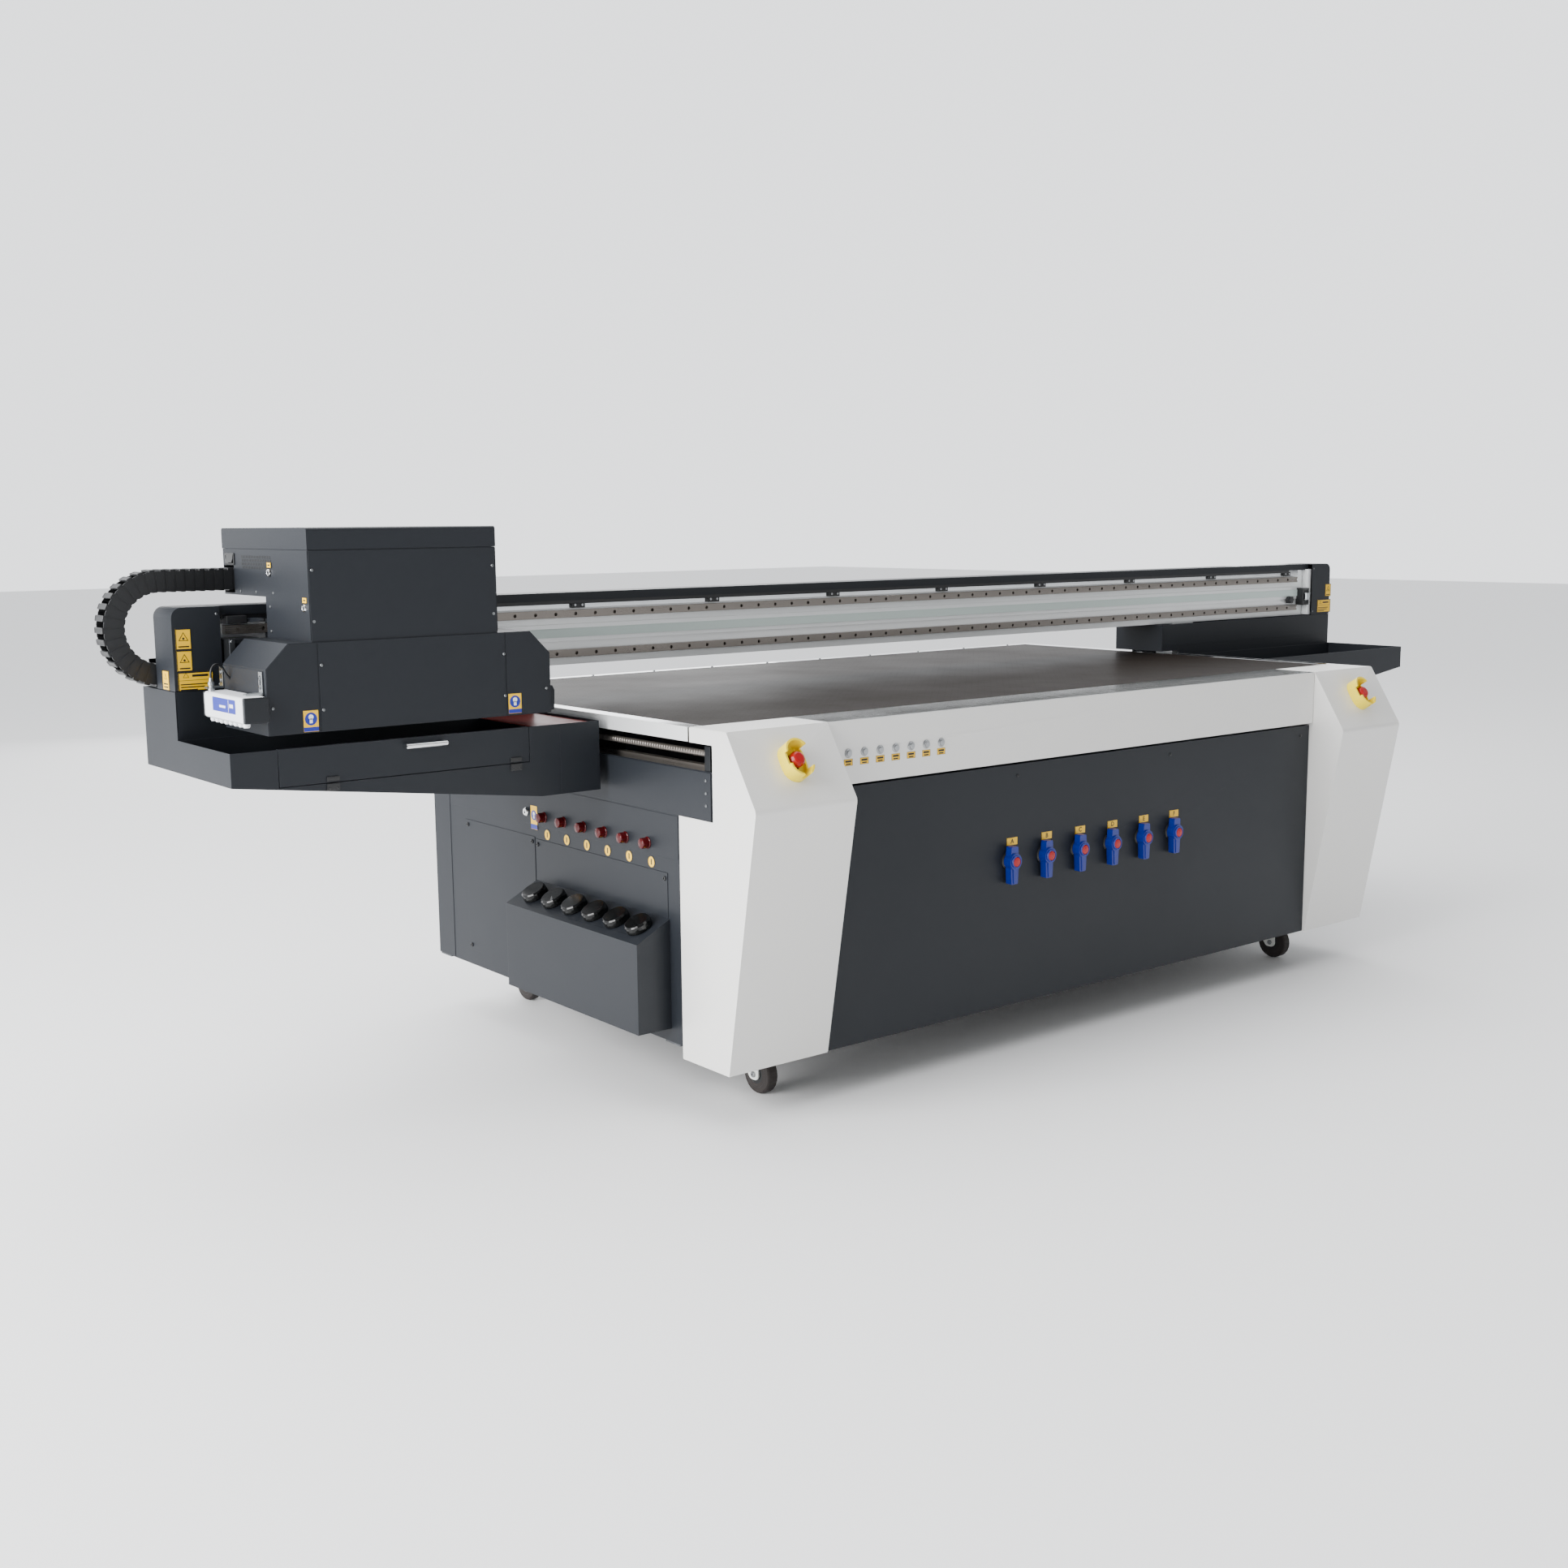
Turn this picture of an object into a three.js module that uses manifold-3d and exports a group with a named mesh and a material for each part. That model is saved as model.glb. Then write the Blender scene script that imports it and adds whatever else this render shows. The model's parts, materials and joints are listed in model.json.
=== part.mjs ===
// A moving-gantry flatbed UV printer, built as separate sub-parts.
// Millimetres. +X runs along the bed, +Y to the back, +Z up. The working origin is the floor point
// under the bed's front left corner; the finished group is moved so that its origin is the middle of
// its footprint.

import * as THREE from "three";
import { mergeVertices } from "three/addons/utils/BufferGeometryUtils.js";
import Module from "manifold-3d";

const wasm = await Module();
wasm.setup();

// ---------- driving dimensions ----------

// Fits and sheet metal
const FIT = 0.3;                 // gap between two pieces that touch
const PLAY = 1.5;                // gap round a piece that is lifted out or swung
const SHEET = 2;                 // wall of every folded cover
const PAST = 20;                 // how far a cutter runs past the face that it cuts
const ARC_STEPS = 6;             // straight pieces in a rounded corner
const ROUND_STEPS = 24;          // straight pieces in a full circle

// Vacuum bed
const BED_LENGTH = 2500;
const BED_WIDTH = 1324;
const BED_TOP = 920;
const BED_THICKNESS = 34;
const BED_CORNER = 6;

// Cabinet and its welded frame
const CABINET_BOTTOM = 155;
const CABINET_FRONT = 46;        // front edge of the end panels
const CABINET_BACK_INSET = 61;   // how far the bed stands out behind the cabinet
const FRAME_BOTTOM = 150;
const TUBE = 60;                 // square tube of the frame
const RUNNER_WIDTH = 60;         // flat tube over the casters
const RAIL_BEAM_WIDTH = 100;     // side beam that carries a Y rail
const RAIL_BEAM_HEIGHT = 100;
const RAIL_BEAM_BOTTOM = 712;
const RAIL_BEAM_FRONT = -80;
const RAIL_BEAM_OVERHANG = 326;  // how far the side beams run past the bed at the back
const FRAME_FRONT = 60;
const BED_BEARERS = 4;           // cross bearers under the bed
const BEARER_WIDTH = 40;
const BEARER_STEP = 20;          // height of the bearer's lower part below the rail beam's top

// Side rail cover, part of each end panel
const COVER_BOTTOM = 710;
const COVER_TOP = 825;

// Leg covers and apron
const LEG_WIDTH = 295;
const LEG_BOTTOM = 124;
const LEG_BEND_Y = -248;
const LEG_BEND_Z = 752;
const LEG_BEND_RADIUS = 22;
const LEG_TOE_Y = -136.5;
const LEG_NOTCH_Y = -88;         // rear edge of the cover beside the slot
const APRON_Y = -142;
const APRON_BOTTOM = 767.5;
const APRON_RETURN = 24;
const PANEL_Y = -130;            // face of the front panel
const PANEL_TOP = 760;
const PANEL_RETURN = 18;

// Ink box on the left end
const INK_DEPTH = 95;
const INK_Y0 = 91;
const INK_Y1 = 700;
const INK_BOTTOM = 188;
const INK_FRONT_TOP = 407;
const INK_BACK_TOP = 456;
const CAPS = 6;
const CAP_FIRST_Y = 148;
const CAP_PITCH = 95.6;
const CAP_RADIUS = 34;
const CAP_HEIGHT = 22;
const CAP_NECK_RADIUS = 28;
const CAP_NECK_LENGTH = 12;
const CAP_RIM = 4;

// Controls
const BUTTONS = 7;
const BUTTON_FROM_LEG = 63;      // first button from the left leg cover
const BUTTON_PITCH = 50.3;
const BUTTON_Z = 842;
const BUTTON_RADIUS = 7;
const BUTTON_PROUD = 6;
const BUTTON_LENGTH = 24;
const STOP_DOWN_SLOPE = 92;      // distance of an emergency stop below the slope's top edge
const STOP_STEM_RADIUS = 11;
const STOP_HEAD_RADIUS = 19;
const STOP_HEAD_START = 14;      // underside of the mushroom above the slope
const STOP_HEAD_HEIGHT = 20;
const STOP_STEM_DEPTH = 30;
const STOP_EDGE = 4;             // rounding of the mushroom
const VALVES = 6;
const VALVE_FIRST_X = 911;
const VALVE_PITCH = 130;
const VALVE_Z = 512;
const VALVE_HUB_RADIUS = 21;
const VALVE_UP = 39;             // handle above its spindle
const VALVE_DOWN = 60;           // handle below its spindle
const VALVE_TIP = 24;            // handle width at its ends
const VALVE_THICK = 24;
const VALVE_ROOT_EXTRA = 3;      // how far each side of the handle swells at its hub
const VALVE_TIP_RADIUS = 4;
const VALVE_HUB_PROUD = 5;
const VALVE_STAND = 6;           // handle stands off the panel
const VALVE_SPINDLE_RADIUS = 8;
const VALVE_SPINDLE_DEPTH = 30;

// Casters
const CASTER_X_INSET = 217;      // swivel axis from the bed's end
const CASTER_FRONT_Y = 61;
const CASTER_BACK_INSET = 95;    // rear swivel axis in front of the cabinet's back
const CASTER_TRAIL = 35;
const WHEEL_RADIUS = 50;
const WHEEL_WIDTH = 32;
const AXLE_RADIUS = 6;
const AXLE_PLAY = 0.1;
const FORK_WALL = 4;
const CASTER_PLATE = 4;          // mounting plate welded under the frame
const CASTER_PLATE_HALF_X = 36;
const CASTER_PLATE_HALF_Y = 44;
const CROWN_RADIUS = 30;
const FORK_SPREAD = 2.5;         // gap between wheel and fork arm
const FORK_BACK = 28;            // fork behind the swivel axis
const FORK_FRONT = 14;           // fork past the axle
const FORK_DROP = 14;            // lower end of a fork arm below the axle
const PEDAL_REACH = 66;          // brake pedal from the swivel axis
const PEDAL_HALF_WIDTH = 17;
const PEDAL_ROOT = 92;           // height of the pedal where it leaves the fork
const PEDAL_TIP = 52;
const PEDAL_THICK = 7;
const TREAD_ROUND = 3;
const TREAD_SIDE = 14;           // height of the tyre's flat side

// Y rails and gantry feet
const RAIL_WIDTH = 20;
const RAIL_HEIGHT = 17.5;
const RAIL_FROM_SIDE = 52;       // rail centre from the bed's end
const RAIL_END_GAP = 5;
const BLOCK_WIDTH = 44;
const BLOCK_CLEAR = 0.4;         // rail block to rail
const FOOT_LENGTH = 140;
const FOOT_ARM_BOTTOM = 845;
const FOOT_ARM_THICK = 30;
const FOOT_COLUMN_X = 40;        // near side of a foot column from the bed's end
const FOOT_COLUMN_LENGTH = 110;
const FOOT_ARM_SETBACK = 20;     // rail block behind the beam's front face
const BLOCK_DOWN = 12;           // how far a rail block reaches down beside its rail

// Gantry
const GANTRY_Y = 637;            // front face of the end housings
const HOUSING_BEHIND_BEAM = 11;
const HOUSING_LENGTH = 111;
const HOUSING_TOP = 1207;
const HOUSING_RADIUS = 24;
const BEAM_BOTTOM = 1020;
const BEAM_TOP = 1190;
const BEAM_Y = 668;
const BEAM_DEPTH = 72;
const BEAM_WALL = 7;
const BEAM_END_GAP = 16;         // beam end inside its housing
const X_RAIL_UPPER_Z = 1152;
const X_RAIL_LOWER_Z = 1050;
const X_RAIL_START = -820;
const X_RAIL_END_INSET = 70;     // rail end before the right housing
const TOP_COVER_LIP = 21;
const TOP_COVER_OVERHANG = 13;
const CHAIN_LIP = 10;            // trough wall above the chain
const CHAIN_TAIL = 6;            // trough's end from the left housing's far end

// Trays
const TRAY_GAP = 30;             // tray to the bed's end
const TRAY_Y = 332;
const TRAY_RIM = 911;
const TRAY_BEHIND_CHAIN = 36;
const LEFT_TRAY_LENGTH = 917;
const RIGHT_TRAY_LENGTH = 890;
const TRAY_FLAT = 164;           // level part of the tray floor next to the bed
const TRAY_RISE = 95;            // rise of the sloping floor to the far end
const TRAY_FLOOR = 742;
const FOOT_COVER_OVER_BED = 53;
const FOOT_COVER_BED_GAP = 8;
const FOOT_COVER_BOTTOM = 877;

// Service door in the station tray
const DOOR_FROM_FAR_END = 106;
const DOOR_LENGTH = 615;
const DOOR_BOTTOM = 829;
const DOOR_RETURN = 12;
const ARM_SLOT_PLAY = 4;         // tray cut-out round the foot's arm

// Carriage
const CARRIAGE_X = -752;
const CARRIAGE_LENGTH = 454;
const CARRIAGE_Y = 336;
const CARRIAGE_LOW_BACK = 573;
const CARRIAGE_BEHIND_CHAIN = 6;
const CARRIAGE_BOTTOM = 1100;
const BRIDGE_BOTTOM = 1227;
const BOX_TOP = 1333;
const LID_HEIGHT = 47;
const LID_OVERLAP = 1;
const LID_RADIUS = 7;
const PLATE_THICK = 16;
const PLATE_INSET = 32;
const PLATE_BOTTOM = 1018;
const PLATE_BELOW_BRIDGE = 10;
const X_BLOCK_LENGTH = 80;
const X_BLOCK_HALF = 22;
const X_BLOCK_GAP = 4;           // rail block to beam face

// Head skirt, print heads and lamps
const SKIRT_LEFT_WING = 108;     // skirt beyond the carriage box on each side
const SKIRT_RIGHT_WING = 135;
const SKIRT_Y = 332;
const SKIRT_BACK = 571;
const SKIRT_BOTTOM = 941;
const SKIRT_TOP = 1136;
const SHOULDER_DROP = 53;
const SHOULDER_RUN = 52;
const HEAD_PLATE_Z = 962;
const HEAD_PLATE_THICK = 8;
const HEAD_PLATE_EDGE = 14;      // plate to the skirt's walls
const HEAD_ROWS = 2;
const HEADS_PER_ROW = 3;
const HEAD_LENGTH = 84;
const HEAD_WIDTH = 62;
const HEAD_DROP = 14;
const HEAD_HEIGHT = 26;
const LAMP_LENGTH = 78;
const LAMP_DEPTH = 190;
const LAMP_HEIGHT = 104;
const LAMP_BOTTOM = 946;
const LAMP_FINS = 6;
const LAMP_FIN_DEPTH = 24;
const LAMP_LENS_EDGE = 12;
const LAMP_LENS_DEPTH = 5;

// Cable chain
const CHAIN_BEHIND_HOUSING = 4;
const CHAIN_WIDTH = 54;
const CHAIN_THICK = 52;
const CHAIN_RADIUS = 107;
const CHAIN_UPPER_Z = 1263;
const CHAIN_LOOP_X = -927;
const CHAIN_ENTRY = 52;          // how far the chain reaches into the carriage
const CHAIN_CLEAR = 5;
const CHAIN_ANCHOR_X = 760;

// ---------- values that follow from them ----------

const bedBottom = BED_TOP - BED_THICKNESS;
const cabinetBack = BED_WIDTH - CABINET_BACK_INSET;
const railBeamBack = BED_WIDTH + RAIL_BEAM_OVERHANG;
const railBeamTop = RAIL_BEAM_BOTTOM + RAIL_BEAM_HEIGHT;
const casterBackY = cabinetBack - CASTER_BACK_INSET;
const rightCasterX = BED_LENGTH - CASTER_X_INSET;
const rightLegX = BED_LENGTH - LEG_WIDTH;
const housingLeftX = -TRAY_GAP - LEFT_TRAY_LENGTH + 1;
const housingRightEnd = BED_LENGTH + TRAY_GAP + RIGHT_TRAY_LENGTH - 8;
const beamBack = BEAM_Y + BEAM_DEPTH;
const housingBack = beamBack + HOUSING_BEHIND_BEAM;
const chainY = housingBack + CHAIN_BEHIND_HOUSING;
const chainBack = chainY + CHAIN_WIDTH;
const trayBack = chainBack + TRAY_BEHIND_CHAIN;
const carriageBack = chainBack + CARRIAGE_BEHIND_CHAIN;
const coverLeftX = housingLeftX + HOUSING_LENGTH + PLAY;
const coverRightX = housingRightEnd - HOUSING_LENGTH - PLAY;
const carriageRight = CARRIAGE_X + CARRIAGE_LENGTH;
const skirtLeft = CARRIAGE_X - SKIRT_LEFT_WING;
const skirtRight = carriageRight + SKIRT_RIGHT_WING;
const chainLowerZ = CHAIN_UPPER_Z - 2 * CHAIN_RADIUS;
const chainLoopZ = CHAIN_UPPER_Z - CHAIN_RADIUS;
const slopeLength = Math.hypot(APRON_Y - LEG_BEND_Y, BED_TOP - LEG_BEND_Z);
const slopeDown = new THREE.Vector3(0, LEG_BEND_Y - APRON_Y, LEG_BEND_Z - BED_TOP)
  .divideScalar(slopeLength);
const slopeNormal = new THREE.Vector3(0, slopeDown.z, -slopeDown.y);
const inkSlope = new THREE.Vector3(INK_DEPTH, 0, INK_BACK_TOP - INK_FRONT_TOP).normalize();
const inkNormal = new THREE.Vector3(-inkSlope.z, 0, inkSlope.x);

const casterPlaces = [
  ["front_left", CASTER_X_INSET, CASTER_FRONT_Y],
  ["front_right", rightCasterX, CASTER_FRONT_Y],
  ["back_left", CASTER_X_INSET, casterBackY],
  ["back_right", rightCasterX, casterBackY],
];

// ---------- finishes ----------

function finish(color, roughness, metalness) {
  return new THREE.MeshStandardMaterial({ color, roughness, metalness });
}

const darkPaint = finish(0x3b4047, 0.45, 0.2);
const lightPaint = finish(0xcfcdc8, 0.38, 0.3);
const steelTube = finish(0x4a4d50, 0.6, 0.5);
const bedPlate = finish(0x564c46, 0.28, 0.55);
const beamMetal = finish(0xd4d7d8, 0.35, 0.9);
const railSteel = finish(0x86837d, 0.3, 0.95);
const blackPlastic = finish(0x16171a, 0.45, 0);
const bluePlastic = finish(0x1f4fae, 0.4, 0);
const redPlastic = finish(0xb3151a, 0.35, 0);
const buttonMetal = finish(0xb8babb, 0.3, 0.9);
const forkZinc = finish(0xdde0da, 0.4, 0.4);
const wheelRubber = finish(0x3c3634, 0.7, 0);
const lampMetal = finish(0x2a2c2f, 0.4, 0.6);
const headPlateMetal = finish(0xa9adb0, 0.35, 0.9);

// ---------- shape helpers ----------

// Turns [u, v] or [u, v, radius] corners into a Shape, with each radius drawn as an arc.
function outline(corners) {
  const shape = new THREE.Shape();
  const count = corners.length;
  corners.forEach(([u, v, radius = 0], i) => {
    const here = new THREE.Vector2(u, v);
    const before = new THREE.Vector2(...corners[(i + count - 1) % count].slice(0, 2));
    const after = new THREE.Vector2(...corners[(i + 1) % count].slice(0, 2));
    const points = radius > 0 ? cornerArc(before, here, after, radius) : [here];
    points.forEach((p, k) => (i + k === 0 ? shape.moveTo(p.x, p.y) : shape.lineTo(p.x, p.y)));
  });
  shape.closePath();
  return shape;
}

// Points along the arc that rounds one corner.
function cornerArc(before, here, after, radius) {
  const toBefore = before.clone().sub(here).normalize();
  const toAfter = after.clone().sub(here).normalize();
  const half = Math.acos(THREE.MathUtils.clamp(toBefore.dot(toAfter), -1, 1)) / 2;
  const middle = toBefore.clone().add(toAfter).normalize();
  const centre = here.clone().addScaledVector(middle, radius / Math.sin(half));
  const start = here.clone().addScaledVector(toBefore, radius / Math.tan(half)).sub(centre);
  const end = here.clone().addScaledVector(toAfter, radius / Math.tan(half)).sub(centre);
  const turn = Math.atan2(start.cross(end), start.dot(end));
  const points = [];
  for (let k = 0; k <= ARC_STEPS; k++) {
    points.push(start.clone().rotateAround(new THREE.Vector2(), (turn * k) / ARC_STEPS).add(centre));
  }
  return points;
}

// Moves every side of a closed outline inwards by a wall thickness.
function inset(corners, wall) {
  const area = corners.reduce((sum, [u, v], i) => {
    const [nu, nv] = corners[(i + 1) % corners.length];
    return sum + u * nv - nu * v;
  }, 0);
  const inward = area > 0 ? 1 : -1;
  const sides = corners.map(([u, v], i) => {
    const [nu, nv] = corners[(i + 1) % corners.length];
    const along = new THREE.Vector2(nu - u, nv - v).normalize();
    const offset = new THREE.Vector2(-along.y, along.x).multiplyScalar(wall * inward);
    return { point: new THREE.Vector2(u, v).add(offset), along };
  });
  return corners.map(([, , radius = 0], i) => {
    const a = sides[(i + corners.length - 1) % corners.length];
    const b = sides[i];
    const step = b.point.clone().sub(a.point).cross(b.along) / a.along.cross(b.along);
    const corner = a.point.clone().addScaledVector(a.along, step);
    return [corner.x, corner.y, Math.max(radius - wall, 0)];
  });
}

// The outline of a bent sheet, from its outer face's corners and its thickness to the right of them.
function sheetOutline(path, wall) {
  const sides = path.slice(1).map(([u, v], i) => {
    const along = new THREE.Vector2(u - path[i][0], v - path[i][1]).normalize();
    const offset = new THREE.Vector2(along.y, -along.x).multiplyScalar(wall);
    return { start: new THREE.Vector2(...path[i]).add(offset), along, offset };
  });
  const inner = path.map(([u, v], i) => {
    if (i === 0) return sides[0].start;
    const a = sides[i - 1];
    if (i === path.length - 1) return new THREE.Vector2(u, v).add(a.offset);
    const b = sides[i];
    const step = b.start.clone().sub(a.start).cross(b.along) / a.along.cross(b.along);
    return a.start.clone().addScaledVector(a.along, step);
  });
  return [...path, ...inner.reverse().map((p) => [p.x, p.y])];
}

const X_AXIS = new THREE.Vector3(1, 0, 0);
const Y_AXIS = new THREE.Vector3(0, 1, 0);
const Z_AXIS = new THREE.Vector3(0, 0, 1);

function extrude(shape, length) {
  return new THREE.ExtrudeGeometry(shape, { depth: length, bevelEnabled: false, curveSegments: ARC_STEPS });
}

// Extrudes a (y, z) outline along X.
function alongX(corners, x0, x1) {
  const turn = new THREE.Matrix4().makeBasis(Y_AXIS, Z_AXIS, X_AXIS);
  return extrude(outline(corners), x1 - x0).applyMatrix4(turn).translate(x0, 0, 0);
}

// Extrudes an (x, z) outline along Y.
function alongY(corners, y0, y1) {
  const turn = new THREE.Matrix4().makeBasis(X_AXIS, Z_AXIS, Y_AXIS.clone().negate());
  return extrude(outline(corners), y1 - y0).applyMatrix4(turn).translate(0, y1, 0);
}

// Extrudes an (x, y) outline along Z.
function alongZ(corners, z0, z1) {
  return extrude(outline(corners), z1 - z0).translate(0, 0, z0);
}

function box(x0, x1, y0, y1, z0, z1) {
  return new THREE.BoxGeometry(x1 - x0, y1 - y0, z1 - z0)
    .translate((x0 + x1) / 2, (y0 + y1) / 2, (z0 + z1) / 2);
}

// A solid of revolution about a line through a point, from [radius, distance] pairs.
function turned(profile, origin, direction) {
  const points = profile.map(([radius, distance]) => new THREE.Vector2(radius, distance));
  const turn = new THREE.Quaternion().setFromUnitVectors(Y_AXIS, direction.clone().normalize());
  return new THREE.LatheGeometry(points, ROUND_STEPS).applyQuaternion(turn)
    .translate(origin.x, origin.y, origin.z);
}

function rod(radius, origin, direction, from, to) {
  return turned([[0, from], [radius, from], [radius, to], [0, to]], origin, direction);
}

// ---------- joining and cutting ----------

function toSolid(shape) {
  if (!shape.isBufferGeometry) return shape;
  const bare = shape.clone();
  bare.deleteAttribute("normal");
  bare.deleteAttribute("uv");
  const merged = mergeVertices(bare, 1e-3);
  const mesh = new wasm.Mesh({
    numProp: 3,
    vertProperties: new Float32Array(merged.attributes.position.array),
    triVerts: new Uint32Array(merged.index.array),
  });
  return new wasm.Manifold(mesh);
}

function join(first, ...rest) {
  return rest.reduce((solid, shape) => solid.add(toSolid(shape)), toSolid(first));
}

function cut(first, ...rest) {
  return rest.reduce((solid, shape) => solid.subtract(toSolid(shape)), toSolid(first));
}

function toGeometry(shape) {
  const mesh = toSolid(shape).getMesh();
  const geometry = new THREE.BufferGeometry();
  geometry.setAttribute("position", new THREE.BufferAttribute(new Float32Array(mesh.vertProperties), 3));
  geometry.setIndex(new THREE.BufferAttribute(new Uint32Array(mesh.triVerts), 1));
  geometry.computeVertexNormals();
  return geometry;
}

const machine = new THREE.Group();
const base = new THREE.Group();
const gantry = new THREE.Group();
const carriage = new THREE.Group();
machine.add(base, gantry);
gantry.add(carriage);

function part(group, name, shape, material) {
  const mesh = new THREE.Mesh(toGeometry(shape), material);
  mesh.name = name;
  group.add(mesh);
}

// Mirrors a shape from one end of the bed to the other.
function acrossBed(shape) {
  const mirror = new THREE.Matrix4().makeScale(-1, 1, 1).setPosition(BED_LENGTH, 0, 0);
  const flipped = shape.clone().applyMatrix4(mirror);
  const order = flipped.index ? flipped.index.array : null;
  const corners = order ?? flipped.attributes.position.array;
  const size = order ? 1 : 3;
  for (let i = 0; i < corners.length; i += 3 * size) {
    for (let k = 0; k < size; k++) {
      [corners[i + k], corners[i + size + k]] = [corners[i + size + k], corners[i + k]];
    }
  }
  return flipped;
}

// ---------- base ----------

function baseFrame() {
  const postTop = RAIL_BEAM_BOTTOM + FIT;
  const backRow = cabinetBack - SHEET - TUBE;
  const sideX = SHEET + FIT;
  const runner = (x) => box(x - RUNNER_WIDTH / 2, x + RUNNER_WIDTH / 2, RAIL_BEAM_FRONT, backRow + TUBE,
    FRAME_BOTTOM, FRAME_BOTTOM + TUBE);
  const left = [
    box(sideX, sideX + RAIL_BEAM_WIDTH, RAIL_BEAM_FRONT, railBeamBack, RAIL_BEAM_BOTTOM, railBeamTop),
    box(sideX, sideX + TUBE, FRAME_FRONT, FRAME_FRONT + TUBE, FRAME_BOTTOM, postTop),
    box(sideX, sideX + TUBE, backRow, backRow + TUBE, FRAME_BOTTOM, postTop),
  ];
  const right = left.map(acrossBed);
  const cross = [FRAME_FRONT, backRow].map((y) =>
    box(sideX, BED_LENGTH - sideX, y, y + TUBE, FRAME_BOTTOM, FRAME_BOTTOM + TUBE));
  cross.push(runner(CASTER_X_INSET), runner(rightCasterX));
  for (const [, x, y] of casterPlaces) {
    cross.push(box(x - CASTER_PLATE_HALF_X, x + CASTER_PLATE_HALF_X, y - CASTER_PLATE_HALF_Y,
      y + CASTER_PLATE_HALF_Y, FRAME_BOTTOM - CASTER_PLATE, FRAME_BOTTOM + 1));
  }
  const bearerX = sideX + RAIL_BEAM_WIDTH;
  const bearerPitch = (backRow + TUBE - BEARER_WIDTH - FRAME_FRONT) / (BED_BEARERS - 1);
  const stepZ = railBeamTop - BEARER_STEP;
  for (let i = 0; i < BED_BEARERS; i++) {
    const y = FRAME_FRONT + i * bearerPitch;
    const y1 = y + BEARER_WIDTH;
    cross.push(box(bearerX - 1, BED_LENGTH - bearerX + 1, y, y1, RAIL_BEAM_BOTTOM, stepZ));
    cross.push(box(bearerX + PAST, BED_LENGTH - bearerX - PAST, y, y1, stepZ - 1, bedBottom - FIT));
  }
  return join(...left, ...right, ...cross);
}

// End panel: the cabinet side below and the long rail cover above, as one flat sheet.
function endPanel(x0) {
  const coverFront = LEG_NOTCH_Y + PLAY;
  const coverBack = railBeamBack + SHEET;
  const corners = [
    [CABINET_FRONT + PLAY, CABINET_BOTTOM],
    [cabinetBack, CABINET_BOTTOM],
    [cabinetBack, COVER_BOTTOM],
    [coverBack, COVER_BOTTOM],
    [coverBack, COVER_TOP],
    [coverFront, COVER_TOP],
    [coverFront, COVER_BOTTOM + PLAY],
    [CABINET_FRONT + PLAY, COVER_BOTTOM + PLAY],
  ];
  return alongX(corners, x0, x0 + SHEET);
}

function rearPanel() {
  const end = SHEET + FIT;
  const shoulder = end + RAIL_BEAM_WIDTH + PLAY;
  const corners = [
    [0, CABINET_BOTTOM],
    [BED_LENGTH, CABINET_BOTTOM],
    [BED_LENGTH, COVER_BOTTOM - PLAY],
    [BED_LENGTH - shoulder, COVER_BOTTOM - PLAY],
    [BED_LENGTH - shoulder, bedBottom - PLAY],
    [shoulder, bedBottom - PLAY],
    [shoulder, COVER_BOTTOM - PLAY],
    [0, COVER_BOTTOM - PLAY],
  ];
  return alongY(corners, cabinetBack + FIT, cabinetBack + FIT + SHEET);
}

const valveXs = Array.from({ length: VALVES }, (_, i) => VALVE_FIRST_X + i * VALVE_PITCH);
const buttonXs = Array.from({ length: BUTTONS }, (_, i) => LEG_WIDTH + BUTTON_FROM_LEG + i * BUTTON_PITCH);
const capYs = Array.from({ length: CAPS }, (_, i) => CAP_FIRST_Y + i * CAP_PITCH);

function frontPanel() {
  const x0 = LEG_WIDTH + PLAY;
  const x1 = rightLegX - PLAY;
  const back = PANEL_Y + PANEL_RETURN;
  const outer = box(x0, x1, PANEL_Y, back, LEG_BOTTOM, PANEL_TOP);
  const hollow = box(x0 + SHEET, x1 - SHEET, PANEL_Y + SHEET, back + PAST,
    LEG_BOTTOM + SHEET, PANEL_TOP - SHEET);
  const holes = valveXs.map((x) =>
    rod(VALVE_SPINDLE_RADIUS + PLAY, new THREE.Vector3(x, PANEL_Y, VALVE_Z), Y_AXIS, -PAST, PAST));
  return cut(outer, hollow, ...holes);
}

function frontApron() {
  const path = [
    [-FIT, BED_TOP],
    [APRON_Y, BED_TOP],
    [APRON_Y, APRON_BOTTOM],
    [APRON_Y + APRON_RETURN, APRON_BOTTOM],
  ];
  const inner = sheetOutline([...path].reverse(), SHEET);
  const sheet = alongX(inner, LEG_WIDTH + PLAY, rightLegX - PLAY);
  const holes = buttonXs.map((x) =>
    rod(BUTTON_RADIUS + FIT, new THREE.Vector3(x, APRON_Y, BUTTON_Z), Y_AXIS, -PAST, PAST));
  return cut(sheet, ...holes);
}

function stopCentre(legX) {
  return new THREE.Vector3(legX + LEG_WIDTH / 2, APRON_Y, BED_TOP)
    .addScaledVector(slopeDown, STOP_DOWN_SLOPE);
}

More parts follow.
